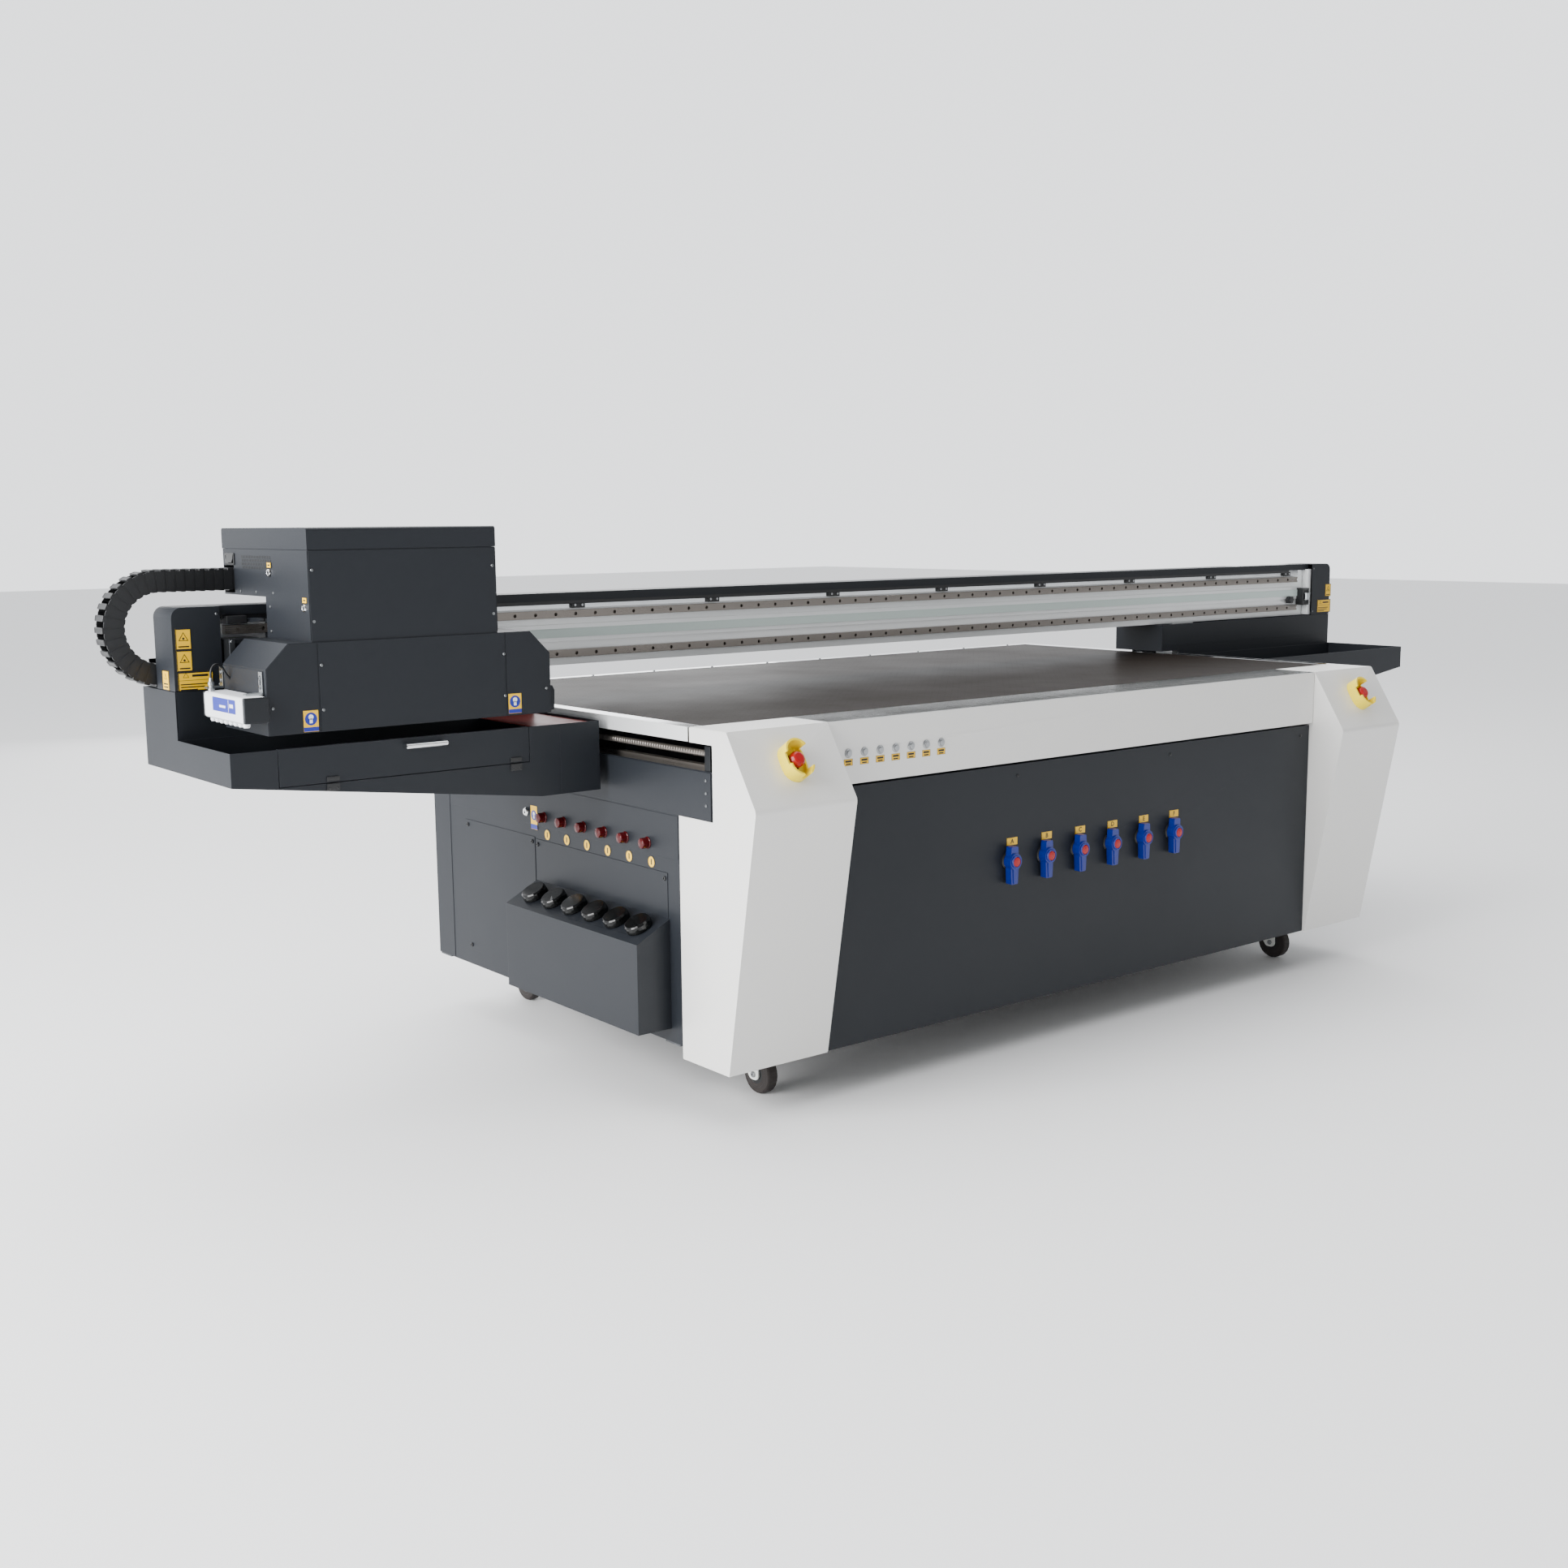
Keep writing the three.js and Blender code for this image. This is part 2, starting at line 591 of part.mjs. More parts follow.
// Folded leg cover, open at the back, with a notch at the outer side for the rail slot.
function legCover(x0, notchX0, notchX1) {
  const corners = [
    [-FIT, BED_TOP],
    [APRON_Y, BED_TOP],
    [LEG_BEND_Y, LEG_BEND_Z, LEG_BEND_RADIUS],
    [LEG_TOE_Y, LEG_BOTTOM],
    [CABINET_FRONT, LEG_BOTTOM],
    [CABINET_FRONT, COVER_BOTTOM],
    [-FIT, COVER_BOTTOM],
  ];
  const outer = alongX(corners, x0, x0 + LEG_WIDTH);
  const hollow = alongX(inset(corners, SHEET), x0 + SHEET, x0 + LEG_WIDTH - SHEET);
  const openBack = box(x0 + SHEET, x0 + LEG_WIDTH - SHEET, CABINET_FRONT - PAST, CABINET_FRONT + PAST,
    LEG_BOTTOM + SHEET, COVER_BOTTOM - SHEET);
  const openTopBack = box(x0 + SHEET, x0 + LEG_WIDTH - SHEET, -PAST, CABINET_FRONT + PAST,
    COVER_BOTTOM - PAST, BED_TOP - SHEET);
  const openBottom = box(x0 + SHEET, x0 + LEG_WIDTH - SHEET, LEG_TOE_Y + PAST, CABINET_FRONT + PAST,
    LEG_BOTTOM - PAST, LEG_BOTTOM + PAST);
  const notch = box(notchX0, notchX1, LEG_NOTCH_Y, CABINET_FRONT + PAST, COVER_BOTTOM, bedBottom);
  const stemHole = rod(STOP_STEM_RADIUS + FIT, stopCentre(x0), slopeNormal, -PAST, PAST);
  return cut(outer, hollow, openBack, openTopBack, openBottom, notch, stemHole);
}

function vacuumBed() {
  const corners = [
    [0, 0, BED_CORNER],
    [BED_LENGTH, 0, BED_CORNER],
    [BED_LENGTH, BED_WIDTH, BED_CORNER],
    [0, BED_WIDTH, BED_CORNER],
  ];
  return alongZ(corners, bedBottom, BED_TOP);
}

function capCentre(y) {
  return new THREE.Vector3(-INK_DEPTH, y, INK_FRONT_TOP)
    .addScaledVector(inkSlope, Math.hypot(INK_DEPTH, INK_BACK_TOP - INK_FRONT_TOP) / 2);
}

function inkBox() {
  const corners = [
    [-FIT, INK_BOTTOM],
    [-FIT, INK_BACK_TOP],
    [-INK_DEPTH, INK_FRONT_TOP],
    [-INK_DEPTH, INK_BOTTOM],
  ];
  const outer = alongY(corners, INK_Y0, INK_Y1);
  const hollow = alongY(inset(corners, SHEET), INK_Y0 + SHEET, INK_Y1 - SHEET);
  const openBack = box(-PAST, PAST, INK_Y0 + SHEET, INK_Y1 - SHEET, INK_BOTTOM + SHEET, INK_FRONT_TOP);
  const holes = capYs.map((y) => rod(CAP_NECK_RADIUS + PLAY, capCentre(y), inkNormal, -PAST, PAST));
  return cut(outer, hollow, openBack, ...holes);
}

function inkCap(y) {
  const profile = [
    [0, -CAP_NECK_LENGTH],
    [CAP_NECK_RADIUS, -CAP_NECK_LENGTH],
    [CAP_NECK_RADIUS, PLAY],
    [CAP_RADIUS - 1, PLAY],
    [CAP_RADIUS, PLAY + CAP_RIM / 2],
    [CAP_RADIUS - 1, CAP_HEIGHT - CAP_RIM],
    [CAP_RADIUS - CAP_RIM, CAP_HEIGHT],
    [0, CAP_HEIGHT],
  ];
  return turned(profile, capCentre(y), inkNormal);
}

// Ground linear rail section with waisted sides, as an outline about its foot's centre.
function railSection(width, height) {
  const waist = 2.5;
  const shoulder = height * 0.55;
  return [
    [-width / 2, 0],
    [width / 2, 0],
    [width / 2, height * 0.25],
    [width / 2 - waist, shoulder],
    [width / 2, height * 0.75],
    [width / 2, height],
    [-width / 2, height],
    [-width / 2, height * 0.75],
    [-width / 2 + waist, shoulder],
    [-width / 2, height * 0.25],
  ];
}

function yRail(x) {
  const corners = railSection(RAIL_WIDTH, RAIL_HEIGHT).map(([u, v]) => [x + u, railBeamTop + FIT + v]);
  return alongY(corners, RAIL_BEAM_FRONT + RAIL_END_GAP, railBeamBack - RAIL_END_GAP);
}

part(base, "base_frame", baseFrame(), steelTube);
part(base, "left_end_panel", endPanel(0), darkPaint);
part(base, "right_end_panel", endPanel(BED_LENGTH - SHEET), darkPaint);
part(base, "rear_panel", rearPanel(), darkPaint);
part(base, "front_panel", frontPanel(), darkPaint);
part(base, "front_apron", frontApron(), lightPaint);
part(base, "left_leg_cover", legCover(0, -PAST, SHEET), lightPaint);
part(base, "right_leg_cover", legCover(rightLegX, BED_LENGTH - SHEET, BED_LENGTH + PAST), lightPaint);
part(base, "vacuum_bed", vacuumBed(), bedPlate);
part(base, "ink_box", inkBox(), darkPaint);
part(base, "y_rail_left", yRail(RAIL_FROM_SIDE), railSteel);
part(base, "y_rail_right", yRail(BED_LENGTH - RAIL_FROM_SIDE), railSteel);

capYs.forEach((y, i) => part(base, `ink_cap_${i + 1}`, inkCap(y), blackPlastic));

// ---------- controls on the base ----------

function pushButton(x) {
  const profile = [
    [0, -BUTTON_PROUD],
    [BUTTON_RADIUS - 1, -BUTTON_PROUD],
    [BUTTON_RADIUS, 1 - BUTTON_PROUD],
    [BUTTON_RADIUS, BUTTON_LENGTH - BUTTON_PROUD],
    [0, BUTTON_LENGTH - BUTTON_PROUD],
  ];
  return turned(profile, new THREE.Vector3(x, APRON_Y, BUTTON_Z), Y_AXIS);
}

function stopHead(legX) {
  const top = STOP_HEAD_START + STOP_HEAD_HEIGHT;
  const profile = [
    [0, -STOP_STEM_DEPTH],
    [STOP_STEM_RADIUS, -STOP_STEM_DEPTH],
    [STOP_STEM_RADIUS, STOP_HEAD_START],
    [STOP_HEAD_RADIUS - STOP_EDGE / 2, STOP_HEAD_START],
    [STOP_HEAD_RADIUS, STOP_HEAD_START + STOP_EDGE],
    [STOP_HEAD_RADIUS, top - 2 * STOP_EDGE],
    [STOP_HEAD_RADIUS - STOP_EDGE, top - STOP_EDGE / 2],
    [STOP_HEAD_RADIUS - 2 * STOP_EDGE, top],
    [0, top],
  ];
  return turned(profile, stopCentre(legX), slopeNormal);
}

function valveHandle(x) {
  const hub = [];
  for (let k = 0; k < ROUND_STEPS; k++) {
    const angle = (2 * Math.PI * k) / ROUND_STEPS;
    hub.push([x + VALVE_HUB_RADIUS * Math.cos(angle), VALVE_Z + VALVE_HUB_RADIUS * Math.sin(angle)]);
  }
  const tip = VALVE_TIP / 2;
  const root = tip + VALVE_ROOT_EXTRA;
  const lever = [
    [x - tip, VALVE_Z + VALVE_UP, VALVE_TIP_RADIUS],
    [x - root, VALVE_Z],
    [x - tip, VALVE_Z - VALVE_DOWN, VALVE_TIP_RADIUS],
    [x + tip, VALVE_Z - VALVE_DOWN, VALVE_TIP_RADIUS],
    [x + root, VALVE_Z],
    [x + tip, VALVE_Z + VALVE_UP, VALVE_TIP_RADIUS],
  ];
  const back = PANEL_Y - VALVE_STAND;
  const front = back - VALVE_THICK;
  const spindle = rod(VALVE_SPINDLE_RADIUS, new THREE.Vector3(x, PANEL_Y, VALVE_Z), Y_AXIS,
    -VALVE_STAND - 1, VALVE_SPINDLE_DEPTH);
  return join(alongY(hub, front, back), alongY(lever, front + VALVE_HUB_PROUD, back), spindle);
}

buttonXs.forEach((x, i) => part(base, `push_button_${i + 1}`, pushButton(x), buttonMetal));
part(base, "emergency_stop_left", stopHead(0), redPlastic);
part(base, "emergency_stop_right", stopHead(rightLegX), redPlastic);
valveXs.forEach((x, i) => part(base, `vacuum_valve_${"abcdef"[i]}`, valveHandle(x), bluePlastic));

// ---------- casters ----------

// One fork, drawn trailing along X from its swivel axis and then turned to trail forwards.
function casterFork(x, y) {
  const wheelTop = 2 * WHEEL_RADIUS;
  const armTop = wheelTop + FORK_FRONT;
  const innerY = WHEEL_WIDTH / 2 + FORK_SPREAD;
  const outerY = innerY + FORK_WALL;
  const arm = [
    [-FORK_BACK, armTop],
    [-FORK_BACK, wheelTop - FORK_WALL / 2],
    [CASTER_TRAIL - FORK_FRONT, WHEEL_RADIUS - FORK_DROP, FORK_DROP],
    [CASTER_TRAIL + FORK_FRONT + FORK_WALL, WHEEL_RADIUS - FORK_DROP, FORK_DROP],
    [CASTER_TRAIL + FORK_FRONT, armTop],
  ];
  const pedal = [
    [2 * FORK_WALL - FORK_BACK, armTop],
    [-FORK_BACK - FORK_WALL / 2, armTop],
    [-PEDAL_REACH, PEDAL_TIP + 2 * PEDAL_THICK, PEDAL_THICK / 2],
    [-PEDAL_REACH, PEDAL_TIP, PEDAL_THICK / 2],
    [2 * FORK_WALL - FORK_BACK, PEDAL_ROOT],
  ];
  const crownPlace = new THREE.Vector3(0, 0, 0);
  const axlePlace = new THREE.Vector3(CASTER_TRAIL, 0, WHEEL_RADIUS);
  const axleEnd = outerY + FORK_WALL / 2;
  const fork = join(
    rod(CROWN_RADIUS, crownPlace, Z_AXIS, armTop - PEDAL_THICK, FRAME_BOTTOM - CASTER_PLATE - FIT),
    box(-FORK_BACK, CASTER_TRAIL + FORK_FRONT, -outerY, outerY, wheelTop + FORK_WALL, armTop),
    alongY(arm, -outerY, -innerY),
    alongY(arm, innerY, outerY),
    rod(AXLE_RADIUS, axlePlace, Y_AXIS, -axleEnd, axleEnd),
    alongY(pedal, -PEDAL_HALF_WIDTH, PEDAL_HALF_WIDTH),
  );
  return fork.rotate([0, 0, -90]).translate([x, y, 0]);
}

function casterWheel(x, y) {
  const half = WHEEL_WIDTH / 2;
  const bore = AXLE_RADIUS + AXLE_PLAY;
  const shoulder = half - TREAD_ROUND - 2;
  const profile = [
    [bore, -half],
    [WHEEL_RADIUS - TREAD_SIDE, -half],
    [WHEEL_RADIUS - TREAD_ROUND, 1 - half],
    [WHEEL_RADIUS, -shoulder],
    [WHEEL_RADIUS, shoulder],
    [WHEEL_RADIUS - TREAD_ROUND, half - 1],
    [WHEEL_RADIUS - TREAD_SIDE, half],
    [bore, half],
    [bore, -half],
  ];
  return turned(profile, new THREE.Vector3(x, y - CASTER_TRAIL, WHEEL_RADIUS), X_AXIS);
}

for (const [place, x, y] of casterPlaces) {
  part(base, `caster_fork_${place}`, casterFork(x, y), forkZinc);
  part(base, `caster_wheel_${place}`, casterWheel(x, y), wheelRubber);
}

// ---------- gantry ----------

// One foot: a column under the beam, an arm through the slot and a block on the Y rail.
function gantryFoot() {
  const columnX = -FOOT_COLUMN_X;
  const armEnd = RAIL_FROM_SIDE + BLOCK_WIDTH / 2;
  const armY = BEAM_Y + FOOT_ARM_SETBACK;
  const armTop = FOOT_ARM_BOTTOM + FOOT_ARM_THICK;
  const columnEnd = columnX - FOOT_COLUMN_LENGTH;
  const column = box(columnEnd, columnX, BEAM_Y, beamBack - 2, FOOT_ARM_BOTTOM, BEAM_BOTTOM + 1);
  const arm = box(columnEnd, armEnd, BEAM_Y, armY + FOOT_LENGTH, FOOT_ARM_BOTTOM, armTop);
  const railTop = railBeamTop + FIT + RAIL_HEIGHT;
  const block = box(armEnd - BLOCK_WIDTH, armEnd, armY, armY + FOOT_LENGTH,
    railTop - BLOCK_DOWN, FOOT_ARM_BOTTOM + 1);
  const channelHalf = RAIL_WIDTH / 2 + BLOCK_CLEAR;
  const channel = box(RAIL_FROM_SIDE - channelHalf, RAIL_FROM_SIDE + channelHalf,
    armY - PAST, armY + FOOT_LENGTH + PAST, railTop - 2 * PAST, railTop + BLOCK_CLEAR);
  return { solid: [column, arm, block], channel };
}

function gantryBeam() {
  const x0 = housingLeftX + BEAM_END_GAP;
  const x1 = housingRightEnd - BEAM_END_GAP;
  const outer = box(x0, x1, BEAM_Y, beamBack, BEAM_BOTTOM, BEAM_TOP);
  const middle = (BEAM_BOTTOM + BEAM_TOP) / 2;
  const lowerHollow = box(x0 - PAST, x1 + PAST, BEAM_Y + BEAM_WALL, beamBack - BEAM_WALL,
    BEAM_BOTTOM + BEAM_WALL, middle - BEAM_WALL / 2);
  const upperHollow = box(x0 - PAST, x1 + PAST, BEAM_Y + BEAM_WALL, beamBack - BEAM_WALL,
    middle + BEAM_WALL / 2, BEAM_TOP - BEAM_WALL);
  const foot = gantryFoot();
  const tube = cut(outer, lowerHollow, upperHollow);
  const body = join(tube, ...foot.solid, ...foot.solid.map(acrossBed));
  return cut(body, foot.channel, acrossBed(foot.channel));
}

function xRail(z) {
  const corners = railSection(RAIL_WIDTH, RAIL_HEIGHT).map(([u, v]) => [BEAM_Y - FIT - v, z + u]);
  return alongX(corners, X_RAIL_START, coverRightX - X_RAIL_END_INSET);
}

// Top cover of the beam, folded down behind it into the trough that the chain lies in.
function beamCover() {
  const wallY = beamBack + FIT + SHEET;
  const shelfZ = chainLowerZ - CHAIN_THICK / 2 - 1 - SHEET;
  const troughBack = chainBack + CHAIN_CLEAR + SHEET;
  const lipTop = chainLowerZ + CHAIN_THICK / 2 + CHAIN_LIP;
  const path = [
    [BEAM_Y - TOP_COVER_OVERHANG, HOUSING_TOP - TOP_COVER_LIP],
    [BEAM_Y - TOP_COVER_OVERHANG, HOUSING_TOP],
    [wallY, HOUSING_TOP],
    [wallY, shelfZ + SHEET],
    [troughBack - SHEET, shelfZ + SHEET],
    [troughBack - SHEET, lipTop],
  ];
  const cover = alongX(sheetOutline(path, SHEET), coverLeftX, coverRightX);
  const endPath = [
    [chainY - 1, shelfZ + SHEET],
    [troughBack - SHEET, shelfZ + SHEET],
    [troughBack - SHEET, lipTop],
  ];
  return join(cover, alongX(sheetOutline(endPath, SHEET), housingLeftX + CHAIN_TAIL, coverLeftX + 1));
}

// End housing of the gantry, rounded at its outer top edge and open towards the beam.
function endHousing(xOuter, xInner) {
  const corners = [
    [xOuter, BEAM_BOTTOM + FIT],
    [xOuter, HOUSING_TOP, HOUSING_RADIUS],
    [xInner, HOUSING_TOP],
    [xInner, BEAM_BOTTOM + FIT],
  ];
  const hollow = alongY(inset(corners, SHEET), GANTRY_Y + SHEET, housingBack - SHEET);
  const openSide = box(xInner - PAST, xInner + PAST, GANTRY_Y + SHEET, housingBack - SHEET,
    BEAM_BOTTOM - PAST, HOUSING_TOP - SHEET);
  const openBottom = box(Math.min(xOuter + SHEET, xInner), Math.max(xOuter - SHEET, xInner),
    GANTRY_Y + SHEET, housingBack - SHEET, BEAM_BOTTOM - PAST, BEAM_BOTTOM + PAST);
  return cut(alongY(corners, GANTRY_Y, housingBack), hollow, openSide, openBottom);
}

// Floor and side outline of a tray that reaches away from the bed, from its near end at 0.
function trayOutline(length, top) {
  return [
    [0, top],
    [0, TRAY_FLOOR],
    [TRAY_FLAT, TRAY_FLOOR],
    [length, TRAY_FLOOR + TRAY_RISE],
    [length, top],
  ];
}

// Open tray in two bays: a low bay in front and one behind it that takes the gantry foot.
// place maps a distance from the near end to X.
function tray(length, place, backRim) {
  const corners = trayOutline(length, backRim).map(([u, v]) => [place(u), v]);
  const inner = inset(corners, SHEET).map(([u, v], i) => [u, i === 0 || i === 4 ? v + PAST : v]);
  const ends = [place(-PAST), place(length + PAST)];
  const lowFront = box(Math.min(...ends), Math.max(...ends), TRAY_Y - PAST, GANTRY_Y,
    TRAY_RIM, backRim + PAST);
  const armSlot = box(Math.min(place(-PAST), place(PAST)), Math.max(place(-PAST), place(PAST)),
    BEAM_Y - ARM_SLOT_PLAY, trayBack - SHEET, FOOT_ARM_BOTTOM - ARM_SLOT_PLAY, backRim + PAST);
  return cut(
    alongY(corners, TRAY_Y, trayBack),
    alongY(inner, TRAY_Y + SHEET, GANTRY_Y - SHEET),
    alongY(inner, GANTRY_Y, trayBack - SHEET),
    lowFront,
    armSlot,
  );
}

const onLeft = (distance) => -TRAY_GAP - distance;
const onRight = (distance) => BED_LENGTH + TRAY_GAP + distance;
const doorX0 = onLeft(LEFT_TRAY_LENGTH) + DOOR_FROM_FAR_END;

function stationTray() {
  const doorway = box(doorX0 - PLAY, doorX0 + DOOR_LENGTH + PLAY, TRAY_Y - PAST, TRAY_Y + SHEET + 1,
    DOOR_BOTTOM - PLAY, TRAY_RIM + PAST);
  return cut(tray(LEFT_TRAY_LENGTH, onLeft, BEAM_BOTTOM - FIT), doorway);
}

function trayDoor() {
  const outer = box(doorX0, doorX0 + DOOR_LENGTH, TRAY_Y, TRAY_Y + DOOR_RETURN, DOOR_BOTTOM, TRAY_RIM);
  const hollow = box(doorX0 + SHEET, doorX0 + DOOR_LENGTH - SHEET,
    TRAY_Y + SHEET, TRAY_Y + DOOR_RETURN + PAST, DOOR_BOTTOM + SHEET, TRAY_RIM - SHEET);
  return cut(outer, hollow);
}

// Long cover over the right foot, stepped to pass above the bed.
function footCover() {
  const x0 = BED_LENGTH - FOOT_COVER_OVER_BED;
  const step = BED_LENGTH + TRAY_GAP + SHEET + PLAY;
  const top = BEAM_BOTTOM - FIT;
  const bedGap = BED_TOP + FOOT_COVER_BED_GAP;
  const back = trayBack - SHEET - PLAY;
  const corners = [
    [x0, bedGap],
    [x0, top],
    [housingRightEnd, top],
    [housingRightEnd, FOOT_COVER_BOTTOM],
    [step, FOOT_COVER_BOTTOM],
    [step, bedGap],
  ];
  const y1 = GANTRY_Y + FIT;
  const outer = alongY(corners, y1, back);
  const hollow = box(x0 + SHEET, housingRightEnd - SHEET, y1 + SHEET, back - SHEET,
    FOOT_COVER_BOTTOM - PAST, top + PAST);
  return cut(outer, hollow);
}

part(gantry, "gantry_beam", gantryBeam(), beamMetal);
part(gantry, "x_rail_upper", xRail(X_RAIL_UPPER_Z), railSteel);
part(gantry, "x_rail_lower", xRail(X_RAIL_LOWER_Z), railSteel);
part(gantry, "beam_cover", beamCover(), darkPaint);
part(gantry, "gantry_end_left", endHousing(housingLeftX, housingLeftX + HOUSING_LENGTH), darkPaint);
part(gantry, "gantry_end_right", endHousing(housingRightEnd, housingRightEnd - HOUSING_LENGTH), darkPaint);
part(gantry, "foot_cover_right", footCover(), darkPaint);
part(gantry, "station_tray", stationTray(), darkPaint);
part(gantry, "right_tray", tray(RIGHT_TRAY_LENGTH, onRight, TRAY_RIM), darkPaint);
part(gantry, "tray_door", trayDoor(), darkPaint);

// ---------- cable chain ----------

function chainUpper() {
  return box(CHAIN_LOOP_X + FIT, CARRIAGE_X + CHAIN_ENTRY, chainY, chainBack,
    CHAIN_UPPER_Z - CHAIN_THICK / 2, CHAIN_UPPER_Z + CHAIN_THICK / 2);
}

function chainLoop() {
  const origin = new THREE.Vector3(CHAIN_LOOP_X, 0, chainLoopZ);
  const outer = rod(CHAIN_RADIUS + CHAIN_THICK / 2, origin, Y_AXIS, chainY, chainBack);
  const inner = rod(CHAIN_RADIUS - CHAIN_THICK / 2, origin, Y_AXIS, chainY - PAST, chainBack + PAST);
  const reach = CHAIN_RADIUS + CHAIN_THICK;
  const rightHalf = box(CHAIN_LOOP_X, CHAIN_LOOP_X + reach, chainY - PAST, chainBack + PAST,
    chainLoopZ - reach, chainLoopZ + reach);
  return cut(outer, inner, rightHalf);
}

function chainLower() {
  return box(CHAIN_LOOP_X + FIT, CHAIN_ANCHOR_X, chainY, chainBack,
    chainLowerZ - CHAIN_THICK / 2, chainLowerZ + CHAIN_THICK / 2);
}

part(gantry, "cable_chain_upper", chainUpper(), blackPlastic);
part(gantry, "cable_chain_loop", chainLoop(), blackPlastic);
part(gantry, "cable_chain_lower", chainLower(), blackPlastic);

// ---------- carriage ----------

function xBlocks() {
  const front = BEAM_Y - FIT - RAIL_HEIGHT;
  const xs = [CARRIAGE_X + PLATE_INSET, carriageRight - PLATE_INSET - X_BLOCK_LENGTH];
  const places = xs.flatMap((x) => [[x, X_RAIL_UPPER_Z], [x, X_RAIL_LOWER_Z]]);
  const blocks = places.map(([x, z]) => box(x, x + X_BLOCK_LENGTH, CARRIAGE_LOW_BACK + PLATE_THICK - 1,
    BEAM_Y - X_BLOCK_GAP, z - X_BLOCK_HALF, z + X_BLOCK_HALF));
  const channels = places.map(([x, z]) => box(x - PAST, x + X_BLOCK_LENGTH + PAST, front - BLOCK_CLEAR,
    BEAM_Y + PAST, z - RAIL_WIDTH / 2 - BLOCK_CLEAR, z + RAIL_WIDTH / 2 + BLOCK_CLEAR));
  return { blocks, channels };
}

function carriageBox() {
  const corners = [
    [CARRIAGE_Y, CARRIAGE_BOTTOM],
    [CARRIAGE_Y, BOX_TOP],
    [carriageBack, BOX_TOP],
    [carriageBack, BRIDGE_BOTTOM],
    [CARRIAGE_LOW_BACK, BRIDGE_BOTTOM],
    [CARRIAGE_LOW_BACK, CARRIAGE_BOTTOM],
  ];
  const inner = inset(corners, SHEET).map(([y, z]) => {
    if (z > BOX_TOP - 2 * SHEET) return [y, z + PAST];
    return z < CARRIAGE_BOTTOM + 2 * SHEET ? [y, z - PAST] : [y, z];
  });
  const shell = cut(
    alongX(corners, CARRIAGE_X, carriageRight),
    alongX(inner, CARRIAGE_X + SHEET, carriageRight - SHEET),
    box(CARRIAGE_X - PAST, CARRIAGE_X + SHEET + 1, chainY - CHAIN_CLEAR / 2,
      Math.min(chainBack + CHAIN_CLEAR / 2, carriageBack - SHEET),
      CHAIN_UPPER_Z - CHAIN_THICK / 2 - CHAIN_CLEAR, CHAIN_UPPER_Z + CHAIN_THICK / 2 + CHAIN_CLEAR),
  );
  const { blocks, channels } = xBlocks();
  const plate = box(CARRIAGE_X + PLATE_INSET, carriageRight - PLATE_INSET, CARRIAGE_LOW_BACK - 1,
    CARRIAGE_LOW_BACK + PLATE_THICK, PLATE_BOTTOM, BRIDGE_BOTTOM - PLATE_BELOW_BRIDGE);
  return cut(join(shell, plate, ...blocks), ...channels);
}

function carriageLid() {
  const x0 = CARRIAGE_X - LID_OVERLAP;
  const x1 = carriageRight + LID_OVERLAP;
  const y0 = CARRIAGE_Y - LID_OVERLAP;
  const y1 = carriageBack + LID_OVERLAP;
  const corners = [
    [y0, BOX_TOP + FIT],
    [y0, BOX_TOP + LID_HEIGHT, LID_RADIUS],
    [y1, BOX_TOP + LID_HEIGHT, LID_RADIUS],
    [y1, BOX_TOP + FIT],
  ];
  const hollow = box(x0 + SHEET, x1 - SHEET, y0 + SHEET, y1 - SHEET,
    BOX_TOP - PAST, BOX_TOP + LID_HEIGHT - SHEET);
  return cut(alongX(corners, x0, x1), hollow);
}

part(carriage, "carriage_box", carriageBox(), darkPaint);
part(carriage, "carriage_lid", carriageLid(), darkPaint);

// ---------- head: skirt, print heads and lamps ----------

function headSkirt() {
  const corners = [
    [skirtLeft, SKIRT_BOTTOM],
    [skirtLeft, SKIRT_TOP - SHOULDER_DROP],
    [skirtLeft + SHOULDER_RUN, SKIRT_TOP],
    [skirtRight - SHOULDER_RUN, SKIRT_TOP],
    [skirtRight, SKIRT_TOP - SHOULDER_DROP],
    [skirtRight, SKIRT_BOTTOM],
  ];
  const inner = inset(corners, SHEET).map(([x, z]) => [x, z < SKIRT_BOTTOM + 2 * SHEET ? z - PAST : z]);
  const collar = box(CARRIAGE_X - LID_OVERLAP - PLAY, carriageRight + LID_OVERLAP + PLAY, SKIRT_Y + SHEET,
    SKIRT_BACK + PAST, SKIRT_BOTTOM - PAST, SKIRT_TOP + PAST);
  const hollow = alongY(inner, SKIRT_Y + SHEET, SKIRT_BACK - SHEET);
  return cut(alongY(corners, SKIRT_Y, SKIRT_BACK), hollow, collar);
}

function headPlate() {
  const x0 = CARRIAGE_X + PLATE_INSET;
  const x1 = carriageRight - PLATE_INSET;
  const y0 = SKIRT_Y + SHEET + HEAD_PLATE_EDGE;
  const y1 = SKIRT_BACK - SHEET - HEAD_PLATE_EDGE;
  const plate = box(x0, x1, y0, y1, HEAD_PLATE_Z, HEAD_PLATE_Z + HEAD_PLATE_THICK);
  const pitchX = (x1 - x0) / HEADS_PER_ROW;
  const pitchY = (y1 - y0) / HEAD_ROWS;
  const heads = [];
  for (let row = 0; row < HEAD_ROWS; row++) {
    for (let i = 0; i < HEADS_PER_ROW; i++) {
      const x = x0 + (i + 0.5) * pitchX;
      const y = y0 + (row + 0.5) * pitchY;
      heads.push(box(x - HEAD_LENGTH / 2, x + HEAD_LENGTH / 2, y - HEAD_WIDTH / 2, y + HEAD_WIDTH / 2,
        HEAD_PLATE_Z - HEAD_DROP, HEAD_PLATE_Z + HEAD_HEIGHT));
    }
  }
  return join(plate, ...heads);
}

